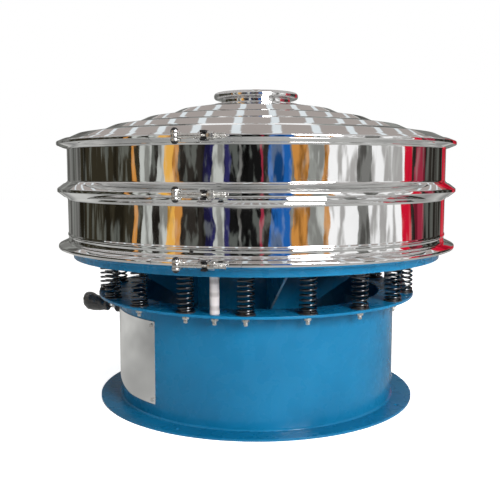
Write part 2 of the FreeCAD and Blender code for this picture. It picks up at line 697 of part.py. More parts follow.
def lid():
    """The spun lid: stepped bands between the inlet and the lip, each with a shoulder."""
    outside = [
        ("lip_radius", "lid_joint + lip_gap"), ("lip_radius", "lid_joint + lip_gap + lip_thickness"),
    ]
    inside = []
    for step in range(4):
        crease = f"frame_radius - lid_step * {step}"
        shoulder = f"{crease} - lid_shoulder"
        outside += [(crease, lid_height(crease)), (shoulder, f"{lid_height(shoulder)} + lid_bulge")]
        inside += [
            (f"{crease} - frame_wall", f"{lid_height(crease)} - lid_thickness"),
            (shoulder, f"{lid_height(shoulder)} + lid_bulge - lid_thickness"),
        ]
    crease = "frame_radius - lid_step * 4"
    outside += [(crease, lid_height(crease)), ("lid_hole_radius", "lid_top")]
    inside += [
        (crease, f"{lid_height(crease)} - lid_thickness"), ("lid_hole_radius", "lid_top - lid_thickness"),
    ]
    ring("lid", outside + inside[::-1])


def feed_inlet():
    """The inlet's collar: a base ring welded to the lid, a neck, and a rounded bead at the mouth."""
    neck = "inlet_bore + inlet_wall"
    base = "lid_top + inlet_base_thickness"
    bead = f"{base} + inlet_neck"
    ring("feed_inlet", [
        ("inlet_bore", "lid_top"), ("inlet_base_radius", "lid_top"), ("inlet_base_radius", base),
        (neck, base), (neck, bead), ("inlet_bead_radius - inlet_bead_round * 0.7", bead),
        ("inlet_bead_radius", f"{bead} + inlet_bead_round * 0.7"),
        ("inlet_bead_radius", f"{bead} + inlet_bead_round * 1.3"),
        ("inlet_bead_radius - inlet_bead_round * 0.7", f"{bead} + inlet_bead_round * 2"),
        ("inlet_bore", f"{bead} + inlet_bead_round * 2"),
    ])


# ---------------------------------------------------------------- closures


def closure(name, joint):
    """One clamp ring's closure: bracket, pin, swing bolt, nut, and the saddle that the nut bears on.

    It is modelled at +X, where X points out of the machine and Y runs round the ring.
    """
    tangent = "pivot_offset * -1"
    top = "ear_start + ear_thickness"
    azimuth = "closure_azimuth"

    bracket = new_body(f"{name}_clamp_bracket", azimuth)
    web = rectangle(
        new_sketch(bracket, "XY_Plane", f"{joint} - ({top})"),
        "clamp_radius - 8", "(pivot_offset + ear_radius) * -1",
        "clamp_radius + bracket_web", "(pivot_offset - ear_radius) * -1",
    )
    padded(bracket, web, f"({top}) * 2")
    for low in (f"{joint} + ear_start", f"{joint} - ({top})"):
        ear = new_sketch(bracket, "XY_Plane", low)
        outline(ear, [
            ("clamp_radius", "(pivot_offset + ear_radius) * -1"),
            ("closure_radius", "(pivot_offset + ear_radius) * -1", "ear_radius"),
            ("closure_radius + ear_radius", "pivot_offset * -1", "ear_radius"),
            ("closure_radius", "(pivot_offset - ear_radius) * -1"),
            ("clamp_radius", "(pivot_offset - ear_radius) * -1"),
        ])
        padded(bracket, ear, "ear_thickness")
    hole = circle(new_sketch(bracket, "XY_Plane", joint), "closure_radius", tangent, "pin_radius")
    pocketed(bracket, hole, f"({top}) * 4")
    seat_on_ring(bracket, joint)

    pin = new_body(f"{name}_clamp_pin", azimuth)
    shank = circle(new_sketch(pin, "XY_Plane", f"{joint} - ({top})"), "closure_radius", tangent, "pin_radius")
    padded(pin, shank, f"({top}) * 2")
    for low in (f"{joint} + {top}", f"{joint} - ({top}) - dome_height"):
        cap = polygon(new_sketch(pin, "XY_Plane", low), "closure_radius", "dome_radius", tangent)
        padded(pin, cap, "dome_height")

    bolt = new_body(f"{name}_swing_bolt", azimuth)
    end = new_sketch(bolt, "XY_Plane", f"{joint} - eye_half_height")
    eye = circle(end, "closure_radius", tangent, "eye_radius")
    padded(bolt, eye, "eye_half_height * 2")
    shank = circle(new_sketch(bolt, "XZ_Plane", "0"), "closure_radius", joint, "bolt_radius")
    padded(bolt, shank, "bolt_end", reverse=True)
    rest = circle(new_sketch(bolt, "XZ_Plane", "0"), "closure_radius", joint, "bolt_radius")
    padded(bolt, rest, "pivot_offset")
    hole = circle(new_sketch(bolt, "XY_Plane", joint), "closure_radius", tangent, "pin_radius + pin_clearance")
    pocketed(bolt, hole, "eye_half_height * 4")

    saddle = new_body(f"{name}_clamp_saddle", azimuth)
    block = rectangle(
        new_sketch(saddle, "XY_Plane", f"{joint} - saddle_half_height"), "clamp_radius - 8", "saddle_offset",
        "closure_radius + saddle_reach", "saddle_offset + saddle_length",
    )
    padded(saddle, block, "saddle_half_height * 2")
    slot = rectangle(
        new_sketch(saddle, "XY_Plane", f"{joint} - bolt_radius - slot_clearance"), "clamp_radius + bracket_web",
        "saddle_offset - 10", "closure_radius + saddle_reach + 10", "saddle_offset + saddle_length + 10",
    )
    cut = pocketed(saddle, slot, "(bolt_radius + slot_clearance) * 2", midplane=False)
    cut.Reversed = True
    seat_on_ring(saddle, joint)

    nut = new_body(f"{name}_clamp_nut", azimuth)
    start = "saddle_offset + saddle_length + closure_nut_gap"
    sketch = new_sketch(nut, "XZ_Plane", f"-1 * ({start})")
    polygon(sketch, "closure_radius", "closure_nut_flats / 2", joint)
    circle(sketch, "closure_radius", joint, "bolt_radius + thread_clearance")
    padded(nut, sketch, "closure_nut_length", reverse=True)


def seat_on_ring(body, joint):
    """Cut a piece of the closure back to the clamp ring's outer face."""
    inside = rectangle(
        new_sketch(body, "XZ_Plane"), "0", f"{joint} - saddle_half_height * 2",
        "clamp_radius", f"{joint} + saddle_half_height * 2",
    )
    turned(body, inside, cut=True)


# ---------------------------------------------------------------- vibration motor


def motor():
    """The vertical motor: housing with its flange, stator, bearings, bolts and terminal box."""
    cavity_low, cavity_high = "motor_bottom + end_wall", "motor_top - end_wall"
    ring("motor_housing", [
        ("bearing_radius", "motor_bottom"), ("bell_radius", "motor_bottom"),
        ("motor_radius", "motor_bottom + bell_depth"), ("motor_radius", "motor_seat - motor_flange_thickness"),
        ("motor_flange_radius", "motor_seat - motor_flange_thickness"), ("motor_flange_radius", "motor_seat"),
        ("motor_radius", "motor_seat"), ("motor_radius", "motor_top - bell_depth"),
        ("bell_radius", "motor_top"), ("bearing_radius", "motor_top"),
        ("bearing_radius", cavity_high), ("motor_cavity_radius", cavity_high),
        ("motor_cavity_radius", cavity_low), ("bearing_radius", cavity_low),
    ])
    stator_low, stator_high = "motor_middle - stator_length / 2", "motor_middle + stator_length / 2"
    ring("stator", band("rotor_core_radius + air_gap", stator_low, "motor_cavity_radius", stator_high))
    ring("rotor_core", band("shaft_radius", stator_low, "rotor_core_radius", stator_high))
    shaft_bore = "shaft_radius + running_clearance"
    bearings = new_body("motor_bearings")
    for low in ("motor_bottom", "motor_top - bearing_length"):
        race = rectangle(
            new_sketch(bearings, "XZ_Plane"), shaft_bore, low, "bearing_radius", f"{low} + bearing_length")
        turned(bearings, race)
    ring("motor_shaft", band("0", "shaft_bottom", "shaft_radius", "shaft_top"))
    bolts = new_body("motor_bolts", "gusset_azimuth + 180 / motor_bolt_count")
    heads = polygon(
        new_sketch(bolts, "XY_Plane", "motor_seat - motor_flange_thickness - motor_bolt_head"),
        "motor_bolt_circle", "motor_bolt_flats / 2",
    )
    nuts = polygon(
        new_sketch(bolts, "XY_Plane", "motor_seat + motor_ring_thickness"),
        "motor_bolt_circle", "motor_bolt_flats / 2",
    )
    features = [padded(bolts, heads, "motor_bolt_head"), padded(bolts, nuts, "motor_bolt_head")]
    patterned(bolts, features, "motor_bolt_count")


def eccentric_weight(label, radius, bottom, azimuth, bore):
    """A hub on the shaft with a heavy sector to one side."""
    body = new_body(label, azimuth)
    turned(body, rectangle(
        new_sketch(body, "XZ_Plane"), bore, bottom, "weight_hub_radius", f"{bottom} + weight_thickness"))
    turned(body, rectangle(
        new_sketch(body, "XZ_Plane"), bore, bottom, radius, f"{bottom} + weight_thickness",
    ), "weight_span", midplane=True)


def eccentric_weights():
    """The fixed weight above the motor and the one below it, which is set to another angle."""
    eccentric_weight("upper_weight", "upper_weight_radius", "motor_top + weight_gap", "0", "shaft_radius")
    bottom = "motor_bottom - weight_gap - weight_thickness"
    eccentric_weight("lower_weight", "lower_weight_radius", bottom, "45", "shaft_radius + running_clearance")


def terminal_box():
    """The box on the motor's side under its flange, with its lid."""
    low = "motor_bottom + box_lift"
    body = new_body("terminal_box", "gland_azimuth")
    block = rectangle(
        new_sketch(body, "XZ_Plane"),
        "motor_radius - 30", low, "motor_radius + box_depth", f"{low} + box_height",
    )
    padded(body, block, "box_width", midplane=True)
    inside = rectangle(
        new_sketch(body, "XZ_Plane"), "0", f"{low} - 20", "motor_radius", f"{low} + box_height + 20",
    )
    turned(body, inside, cut=True)
    cover = new_body("terminal_cover", "gland_azimuth")
    plate = rectangle(
        new_sketch(cover, "XZ_Plane"), "motor_radius + box_depth", low,
        "motor_radius + box_depth + box_lid", f"{low} + box_height",
    )
    padded(cover, plate, "box_width", midplane=True)


# ---------------------------------------------------------------- build and export


foot_flange()
base_drum()
spring_ring()
service_covers()
cable_gland()
cable()
spring_seats()
fasteners_below("spring_nuts", "spring_azimuth", "spring_count")
transport_rods()
springs()
vibrating_dish()
motor_tube()
gussets()
seals()
clamp_rings()
frames()
discharge_pan()
screen()
lid()
feed_inlet()
for ring_name, (ring_joint, _, _) in JOINTS.items():
    closure(ring_name, ring_joint)
motor()
eccentric_weights()
terminal_box()
doc.recompute()

for item in doc.Objects:
    if {"Invalid", "Error"} & set(item.State):
        raise RuntimeError(f"{item.Label} did not compute: {item.State}")
for label, item in parts.items():
    if item.Shape.isNull() or not item.Shape.isValid() or not item.Shape.Solids:
        raise RuntimeError(f"{label} has no valid solid")
os.makedirs("parts", exist_ok=True)
for label, item in parts.items():
    item.Shape.exportStep(f"parts/{label}.step")
print(len(parts), "sub-parts written")
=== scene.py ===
"""A round vibrating sieve: polished lid and frames, blue enamelled base, black coil springs."""

import json
import math

import bpy
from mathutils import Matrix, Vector


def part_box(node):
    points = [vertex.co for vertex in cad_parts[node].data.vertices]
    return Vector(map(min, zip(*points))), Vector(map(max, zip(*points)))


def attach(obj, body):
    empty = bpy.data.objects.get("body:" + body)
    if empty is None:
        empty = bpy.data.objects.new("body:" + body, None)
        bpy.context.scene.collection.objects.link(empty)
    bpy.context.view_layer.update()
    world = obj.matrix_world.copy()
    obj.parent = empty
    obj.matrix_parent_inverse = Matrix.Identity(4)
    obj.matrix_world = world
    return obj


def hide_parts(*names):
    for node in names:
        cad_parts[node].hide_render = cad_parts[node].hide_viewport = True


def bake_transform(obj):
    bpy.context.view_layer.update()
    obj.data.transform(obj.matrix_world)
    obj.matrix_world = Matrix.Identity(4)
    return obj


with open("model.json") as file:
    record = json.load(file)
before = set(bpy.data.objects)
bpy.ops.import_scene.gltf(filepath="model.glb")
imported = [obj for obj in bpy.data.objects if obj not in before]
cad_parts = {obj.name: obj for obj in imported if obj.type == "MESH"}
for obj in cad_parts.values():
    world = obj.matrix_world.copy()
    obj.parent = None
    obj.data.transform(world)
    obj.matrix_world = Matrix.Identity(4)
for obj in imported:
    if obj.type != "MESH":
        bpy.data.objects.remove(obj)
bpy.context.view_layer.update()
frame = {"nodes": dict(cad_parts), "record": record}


# ---------------------------------------------------------------- camera

bpy.ops.object.camera_add(
    location=(0, -2.975, 0.8995),
    rotation=(math.radians(90 - 6.155), 0, math.radians(0.47)),
)
camera = bpy.context.object
camera.name = "portrait_camera"
camera.data.lens = 51.89
camera.data.sensor_width = 36
bpy.context.scene.camera = camera


# ---------------------------------------------------------------- sizes read from the frame

MM = 0.001


def reach(node):
    """The radius of the node's outermost point about the machine's axis."""
    return max(math.hypot(v.co.x, v.co.y) for v in frame["nodes"][node].data.vertices)


def bore(node):
    """The radius of the node's innermost point about the machine's axis."""
    return min(math.hypot(v.co.x, v.co.y) for v in frame["nodes"][node].data.vertices)


def low(node):
    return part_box(node)[0].z


def high(node):
    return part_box(node)[1].z


def around(azimuth, radius, height=0):
    """A point at an azimuth counted from -Y towards +X, in degrees."""
    turn = math.radians(azimuth)
    return Vector((radius * math.sin(turn), -radius * math.cos(turn), height))


foot_radius, foot_bore, foot_top = reach("foot_flange"), bore("foot_flange"), high("foot_flange")
drum_radius, drum_top = reach("base_drum"), high("base_drum")
drum_wall = 5 * MM
ring_radius, ring_bore = reach("spring_ring"), bore("spring_ring")
base_height = high("spring_ring")
dish_bottom = low("vibrating_dish")
dish_radius = 735 * MM
dish_wall, dish_plate = 8 * MM, 10 * MM
lip_radius = reach("lid")
band_radius = reach("upper_clamp_ring")
frame_radius, frame_wall = 751 * MM, 3 * MM
frame_bore = frame_radius - frame_wall
lip_gap, lip_thickness = 3 * MM, 4 * MM
lower_joint = low("lower_frame") - lip_gap
middle_joint = low("upper_frame") - lip_gap
lid_joint = low("lid") - lip_gap
dish_rise, frame_rise, lid_rise = 20 * MM, 34 * MM, 18 * MM
lid_top = low("feed_inlet")
anchor_azimuth, anchor_circle = -26.6, 605 * MM
anchor_count, anchor_hole_radius = 4, 9 * MM
spring_circle, spring_azimuth, spring_count = 607 * MM, -3.2, 18
rod_azimuth, rod_count = spring_azimuth - 180 / spring_count, 3
cover_azimuth, cover_step, cover_span = -69.8, 178.3, 58.4
gland_azimuth, gland_height = -104, 311 * MM
closure_azimuth, closure_radius = -13, 815 * MM
pivot_offset = 64 * MM


# ---------------------------------------------------------------- ways of making things


def only(piece):
    """Select this piece alone and make it the active one."""
    bpy.ops.object.select_all(action="DESELECT")
    piece.select_set(True)
    bpy.context.view_layer.objects.active = piece
    return piece


def called(name):
    piece = bpy.context.object
    piece.name = name
    piece.data.name = name
    return piece


def settled(piece):
    """Put the piece's place, turn and size into its mesh, so that its object stays at the origin."""
    only(piece)
    bpy.ops.object.transform_apply(location=True, rotation=True, scale=True)
    return piece


def applied(piece, kind, **settings):
    """Add a modifier with these settings and apply it."""
    only(piece)
    modifier = piece.modifiers.new(kind.lower(), kind)
    for setting, value in settings.items():
        setattr(modifier, setting, value)
    bpy.ops.object.modifier_apply(modifier=modifier.name)
    return piece


def softened(piece, width, segments=2, angle=40):
    """Round the piece's edges and shade it smooth between them."""
    applied(
        piece, "BEVEL", width=width, segments=segments, limit_method="ANGLE", angle_limit=math.radians(angle),
    )
    return smoothed(piece)


def smoothed(piece, angle=32):
    only(piece)
    bpy.ops.object.shade_smooth_by_angle(angle=math.radians(angle))
    return piece


def joined(name, pieces):
    bpy.ops.object.select_all(action="DESELECT")
    for piece in pieces:
        piece.select_set(True)
    bpy.context.view_layer.objects.active = pieces[0]
    bpy.ops.object.join()
    return called(name)


def turned_copy(piece, azimuth, rise=0):
    """A copy with its own mesh, turned about the machine's axis."""
    only(piece)
    bpy.ops.object.duplicate(linked=False)
    copy = bpy.context.object
    copy.rotation_euler.z = math.radians(azimuth)
    copy.location.z = rise
    return settled(copy)


def ring_of(name, piece, count, first, step=None):
    """The piece, made at +X, set all round the machine. An azimuth is counted from -Y."""
    step = 360 / count if step is None else step
    copies = [turned_copy(piece, first - 90 + step * index) for index in range(count)]
    bpy.data.objects.remove(piece)
    return joined(name, copies)


def carved(piece, cutter):
    """Cut the second piece's shape out of the first."""
    applied(piece, "BOOLEAN", object=cutter, operation="DIFFERENCE", solver="EXACT")
    bpy.data.objects.remove(cutter)
    return piece


def rounded(corners, closed=True):
    """The points of a profile, with an arc at each corner (x, z, radius) that has a radius."""
    points = []
    count = len(corners)
    for index, corner in enumerate(corners):
        here = Vector(corner[:2])
        radius = corner[2] if len(corner) > 2 else 0
        if not radius or (not closed and index in (0, count - 1)):
            points.append(tuple(here))
            continue
        before = (Vector(corners[index - 1][:2]) - here).normalized()
        after = (Vector(corners[(index + 1) % count][:2]) - here).normalized()
        half = before.angle(after) / 2
        back = radius / math.tan(half)
        middle = here + (before + after).normalized() * (radius / math.sin(half))
        start, stop = here + before * back - middle, here + after * back - middle
        turn = start.angle_signed(stop)
        pieces = max(2, round(abs(math.degrees(turn)) / 12))
        first = math.atan2(start.y, start.x)
        for share in range(pieces + 1):
            angle = first - turn * share / pieces
            points.append((middle.x + radius * math.cos(angle), middle.y + radius * math.sin(angle)))
    return points


def profile(name, corners, closed=True):
    """A wire in the XZ plane: a point is set down and extruded from corner to corner."""
    points = rounded(corners, closed)
    bpy.ops.mesh.primitive_plane_add(size=MM, location=(0, 0, 0))
    piece = called(name)
    bpy.ops.object.mode_set(mode="EDIT")
    bpy.ops.mesh.merge(type="CENTER")
    bpy.ops.transform.translate(value=(points[0][0], 0, points[0][1]))
    for near, far in zip(points, points[1:] + (points[:1] if closed else [])):
        step = (far[0] - near[0], 0, far[1] - near[1])
        bpy.ops.mesh.extrude_region_move(TRANSFORM_OT_translate={"value": step})
    bpy.ops.mesh.select_all(action="SELECT")
    bpy.ops.mesh.remove_doubles(threshold=2e-6)
    bpy.ops.object.mode_set(mode="OBJECT")
    return piece


def spun(name, corners, closed=True, steps=240, axis_x=0):
    """A profile spun all round the upright line at axis_x."""
    piece = profile(name, corners, closed)
    bpy.ops.object.mode_set(mode="EDIT")
    bpy.ops.mesh.select_all(action="SELECT")
    bpy.ops.mesh.spin(
        steps=steps, angle=2 * math.pi, use_auto_merge=True, center=(axis_x, 0, 0), axis=(0, 0, 1),
    )
    bpy.ops.mesh.select_all(action="SELECT")
    bpy.ops.mesh.remove_doubles(threshold=2e-6)
    bpy.ops.mesh.normals_make_consistent(inside=False)
    bpy.ops.object.mode_set(mode="OBJECT")
    return smoothed(piece)


def spun_arc(name, corners, first, last, spacing=1.5):
    """A closed profile spun from one azimuth to another, with both of its ends closed."""
    piece = profile(name, corners)
    bpy.ops.object.mode_set(mode="EDIT")
    bpy.ops.mesh.select_all(action="SELECT")
    bpy.ops.mesh.edge_face_add()
    steps = max(2, round((last - first) / spacing))
    bpy.ops.mesh.spin(steps=steps, angle=math.radians(last - first), center=(0, 0, 0), axis=(0, 0, 1))
    bpy.ops.mesh.select_all(action="SELECT")
    bpy.ops.mesh.normals_make_consistent(inside=False)
    bpy.ops.object.mode_set(mode="OBJECT")
    # the spin runs clockwise from +X, so the piece is set down with its start at the last azimuth
    piece.rotation_euler.z = math.radians(last - 90)
    return smoothed(settled(piece))


def block(name, near, far, width=1 * MM, segments=2):
    """A box between two corners with its edges rounded."""
    near, far = Vector(near), Vector(far)
    bpy.ops.mesh.primitive_cube_add(size=1, location=(near + far) / 2)
    piece = called(name)
    piece.scale = far - near
    return softened(settled(piece), width, segments)


def rod(name, place, radius, length, axis="Z", sides=32, chamfer=0.5 * MM):
    """A round or many-sided bar that starts at a place and runs along an axis, its ends chamfered."""
    turn = {"X": (0, math.pi / 2, 0), "Y": (-math.pi / 2, 0, 0), "Z": (0, 0, 0)}[axis]
    along = {"X": Vector((1, 0, 0)), "Y": Vector((0, 1, 0)), "Z": Vector((0, 0, 1))}[axis]
    bpy.ops.mesh.primitive_cylinder_add(
        vertices=sides, radius=radius, depth=length, rotation=turn,
        location=Vector(place) + along * length / 2,
    )
    piece = settled(called(name))
    return softened(piece, chamfer, 2) if chamfer else smoothed(piece)


# ---------------------------------------------------------------- finishes


def new_finish(name):
    finish = bpy.data.materials.new(name)
    finish.use_nodes = True
    tree = finish.node_tree
    shader = tree.nodes["Principled BSDF"]
    return finish, tree, shader


def pattern(tree, kind, scale, stretch=(1, 1, 1), **settings):
    """A texture on the piece's own coordinates, stretched along its axes."""
    place = tree.nodes.new("ShaderNodeTexCoord")
    mapping = tree.nodes.new("ShaderNodeMapping")
    mapping.inputs["Scale"].default_value = stretch
    texture = tree.nodes.new(f"ShaderNodeTex{kind}")
    texture.inputs["Scale"].default_value = scale
    for setting, value in settings.items():
        if setting in texture.inputs:
            texture.inputs[setting].default_value = value
        else:
            setattr(texture, setting, value)
    tree.links.new(place.outputs["Object"], mapping.inputs["Vector"])
    tree.links.new(mapping.outputs["Vector"], texture.inputs["Vector"])
    return texture


def between(tree, factor, low_value, high_value, start=0.3, stop=0.7):
    """A value that runs from one number to another with a pattern."""
    span = tree.nodes.new("ShaderNodeMapRange")
    span.inputs["From Min"].default_value = start
    span.inputs["From Max"].default_value = stop
    span.inputs["To Min"].default_value = low_value
    span.inputs["To Max"].default_value = high_value
    tree.links.new(factor, span.inputs["Value"])
    return span.outputs["Result"]


def tinted(tree, factor, first, second, start=0.35, stop=0.65):
    """A colour that runs from one tint to another with a pattern."""
    ramp = tree.nodes.new("ShaderNodeValToRGB")
    ramp.color_ramp.elements[0].position = start
    ramp.color_ramp.elements[1].position = stop
    ramp.color_ramp.elements[0].color = (*first, 1)
    ramp.color_ramp.elements[1].color = (*second, 1)
    tree.links.new(factor, ramp.inputs["Fac"])
    return ramp.outputs["Color"]


def raised(tree, height, distance, strength=1, onto=None):
    """Relief of that height, laid over any relief that is there already."""
    bump = tree.nodes.new("ShaderNodeBump")
    bump.inputs["Distance"].default_value = distance
    bump.inputs["Strength"].default_value = strength
    tree.links.new(height, bump.inputs["Height"])
    if onto:
        tree.links.new(onto, bump.inputs["Normal"])
    return bump.outputs["Normal"]


def enamel(name, first, second, roughness=0.26, coat=0.18):
    """Sprayed enamel: a slow change of tint, a fine orange peel and a clear gloss."""
    finish, tree, shader = new_finish(name)
    tint = tinted(tree, pattern(tree, "Noise", 3.5, Detail=3).outputs["Fac"], first, second)
    tree.links.new(tint, shader.inputs["Base Color"])
    worn = pattern(tree, "Noise", 14, Detail=5).outputs["Fac"]
    tree.links.new(between(tree, worn, roughness * 0.8, roughness * 1.35), shader.inputs["Roughness"])
    peel = pattern(tree, "Noise", 420, Detail=1).outputs["Fac"]
    waves = pattern(tree, "Noise", 9, Detail=1).outputs["Fac"]
    relief = raised(tree, waves, 0.6 * MM, 0.35)
    tree.links.new(raised(tree, peel, 0.05 * MM, 0.5, relief), shader.inputs["Normal"])
    shader.inputs["Specular IOR Level"].default_value = 0.22
    shader.inputs["Coat Weight"].default_value = coat
    shader.inputs["Coat Roughness"].default_value = 0.09
    return finish


def polished(name, tint, roughness, ripple=0.25, scratches=True):
    """Mirror-polished stainless sheet: slow ripples, a faint grain and small changes in gloss."""
    finish, tree, shader = new_finish(name)
    shader.inputs["Metallic"].default_value = 1
    shade = pattern(tree, "Noise", 6, Detail=4).outputs["Fac"]
    darker = tuple(value * 0.93 for value in tint)
    tree.links.new(tinted(tree, shade, darker, tint), shader.inputs["Base Color"])
    gloss = pattern(tree, "Noise", 22, Detail=6).outputs["Fac"]
    tree.links.new(between(tree, gloss, roughness * 0.6, roughness * 1.5), shader.inputs["Roughness"])
    waves = pattern(tree, "Noise", 5, Detail=0, stretch=(1, 1, 0.5)).outputs["Fac"]
    relief = raised(tree, waves, 1.5 * MM, ripple)
    if scratches:
        grain = pattern(tree, "Noise", 60, Detail=4, stretch=(1, 1, 18)).outputs["Fac"]
        relief = raised(tree, grain, 0.02 * MM, 0.12, relief)
    tree.links.new(relief, shader.inputs["Normal"])
    return finish


def plated(name, tint, roughness=0.28):
    """Zinc-plated or ground steel: a cloudy tint and a fine tooth."""
    finish, tree, shader = new_finish(name)
    shader.inputs["Metallic"].default_value = 1
    cloud = pattern(tree, "Noise", 90, Detail=4).outputs["Fac"]
    darker = tuple(value * 0.8 for value in tint)
    tree.links.new(tinted(tree, cloud, darker, tint), shader.inputs["Base Color"])
    tree.links.new(between(tree, cloud, roughness * 0.7, roughness * 1.4), shader.inputs["Roughness"])
    tooth = pattern(tree, "Noise", 900, Detail=2).outputs["Fac"]
    tree.links.new(raised(tree, tooth, 0.02 * MM, 0.3), shader.inputs["Normal"])
    return finish


def plain(name, first, second, roughness, scale=60, relief=0.08, coat=0.0, metallic=0.0):
    """A moulded, rubbed or cast surface: two close tints and a fine relief."""
    finish, tree, shader = new_finish(name)
    shade = pattern(tree, "Noise", scale, Detail=5).outputs["Fac"]
    tree.links.new(tinted(tree, shade, first, second), shader.inputs["Base Color"])
    tree.links.new(between(tree, shade, roughness * 0.85, roughness * 1.2), shader.inputs["Roughness"])
    tooth = pattern(tree, "Noise", scale * 12, Detail=3).outputs["Fac"]
    tree.links.new(raised(tree, tooth, relief * MM, 0.6), shader.inputs["Normal"])
    shader.inputs["Coat Weight"].default_value = coat
    shader.inputs["Metallic"].default_value = metallic
    return finish


def crinkled_film(name):
    """Thin black film wound tight: sharp creases that catch the light."""
    finish, tree, shader = new_finish(name)
    folds = pattern(tree, "Noise", 28, Detail=2, stretch=(1, 1, 2)).outputs["Fac"]
    tint = tinted(tree, folds, (0.006, 0.006, 0.007), (0.022, 0.022, 0.024))
    tree.links.new(tint, shader.inputs["Base Color"])
    tree.links.new(between(tree, folds, 0.12, 0.3), shader.inputs["Roughness"])
    creases = pattern(tree, "Voronoi", 62, stretch=(1, 1, 2.4), feature="DISTANCE_TO_EDGE")
    relief = raised(tree, folds, 9 * MM, 1)
    relief = raised(tree, creases.outputs["Distance"], 6 * MM, 0.9, relief)
    tree.links.new(relief, shader.inputs["Normal"])
    shader.inputs["Specular IOR Level"].default_value = 1
    shader.inputs["Coat Weight"].default_value = 1
    shader.inputs["Coat Roughness"].default_value = 0.08
    return finish


def woven_wire(name):
    """Fine woven wire: two sets of ridges that cross."""
    finish, tree, shader = new_finish(name)
    shader.inputs["Metallic"].default_value = 1
    warp = pattern(tree, "Wave", 260, bands_direction="X").outputs["Fac"]
    weft = pattern(tree, "Wave", 260, bands_direction="Y").outputs["Fac"]
    cross = tree.nodes.new("ShaderNodeMath")
    cross.operation = "MAXIMUM"
    tree.links.new(warp, cross.inputs[0])
    tree.links.new(weft, cross.inputs[1])
    # the openings between the wires are painted dark: painted shade seen through the cloth
    tint = tinted(tree, cross.outputs["Value"], (0.10, 0.10, 0.11), (0.62, 0.63, 0.64), 0.3, 0.8)
    tree.links.new(tint, shader.inputs["Base Color"])
    shader.inputs["Roughness"].default_value = 0.38
    tree.links.new(raised(tree, cross.outputs["Value"], 0.4 * MM, 0.8), shader.inputs["Normal"])
    return finish


def wound_tape(name):
    """White tape wound round a sleeve, with the edge of each turn showing."""
    finish, tree, shader = new_finish(name)
    wave = pattern(tree, "Wave", 7, stretch=(0.25, 0.25, 1), bands_direction="Z", Distortion=1.6)
    turns = wave.outputs["Fac"]
    # the groove at the edge of each turn is painted darker, in step with the relief: painted shade
    tint = tinted(tree, turns, (0.40, 0.36, 0.355), (0.60, 0.56, 0.55), 0.05, 0.45)
    tree.links.new(tint, shader.inputs["Base Color"])
    shader.inputs["Roughness"].default_value = 0.5
    tree.links.new(raised(tree, turns, 0.5 * MM, 0.6), shader.inputs["Normal"])
    return finish


finishes = {
    "blue_enamel": enamel("blue_enamel", (0.003, 0.132, 0.275), (0.004, 0.162, 0.330)),
    "mirror_stainless": polished("mirror_stainless", (0.90, 0.90, 0.90), 0.035),
    "bright_fasteners": plated("bright_fasteners", (0.80, 0.79, 0.76)),
    # the seats' near-black is painted shade: dark discs set where the springs' feet lie in shade
    "black_seat": plain("black_seat", (0.010, 0.010, 0.012), (0.022, 0.022, 0.024), 0.42, coat=0.2),
    "black_spring": plain(
        "black_spring", (0.06, 0.06, 0.063), (0.13, 0.13, 0.135), 0.17, 120, 0.02, coat=0.8, metallic=1.0,
    ),
    "threaded_rod": plated("threaded_rod", (0.62, 0.61, 0.58), 0.35),
    "white_tape": wound_tape("white_tape"),
    "black_cable": plain("black_cable", (0.010, 0.010, 0.011), (0.024, 0.024, 0.026), 0.45, 80),
    "black_film": crinkled_film("black_film"),
    "black_gland": plain("black_gland", (0.010, 0.010, 0.011), (0.020, 0.020, 0.022), 0.4, 70),
    "seal_rubber": plain("seal_rubber", (0.70, 0.70, 0.68), (0.82, 0.82, 0.79), 0.55, 40),
    "wire_cloth": woven_wire("wire_cloth"),
    "motor_paint": plain("motor_paint", (0.055, 0.065, 0.075), (0.085, 0.095, 0.105), 0.42, 26, 0.12, 0.2),
    "core_steel": plated("core_steel", (0.34, 0.34, 0.35), 0.45),
    "bearing_steel": plated("bearing_steel", (0.72, 0.72, 0.73), 0.2),
    "weight_iron": plain(
        "weight_iron", (0.045, 0.045, 0.048), (0.10, 0.10, 0.105), 0.55, 34, 0.25, metallic=0.6,
    ),
    # near-black; on the forks this is painted shade, the dark inside their slots laid over the whole part
    "dark_steel": plain("dark_steel", (0.012, 0.012, 0.014), (0.035, 0.034, 0.034), 0.3, 90, 0.05, 0.3, 0.6),
}


def dressed(piece, finish, body, *nodes):
    """Give a piece its finish, let it ride on a body, and let it stand for CAD nodes."""
    piece.data.materials.clear()
    piece.data.materials.append(finishes[finish])
    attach(piece, body)
    if nodes:
        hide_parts(*nodes)
    return piece


for subpart in frame["record"]["subparts"]:
    metal = frame["nodes"][subpart["node"]].data.materials
    metal.clear()
    metal.append(finishes[subpart["material_slot"]])


# ---------------------------------------------------------------- cable and its wrapped hank

gland_end = drum_radius + 79 * MM
lead_length, hank_length, hank_rise = 26 * MM, 124 * MM, 28 * MM
cable_radius = 4 * MM
outward = around(gland_azimuth, 1)
sideways = Vector((-outward.y, outward.x, 0))
cable_exit = around(gland_azimuth, gland_end, gland_height)


def along_cable(distance, rise, aside=0):
    """A point that far out of the gland, above its axis and to its side."""
    return cable_exit + outward * distance + sideways * aside + Vector((0, 0, rise))


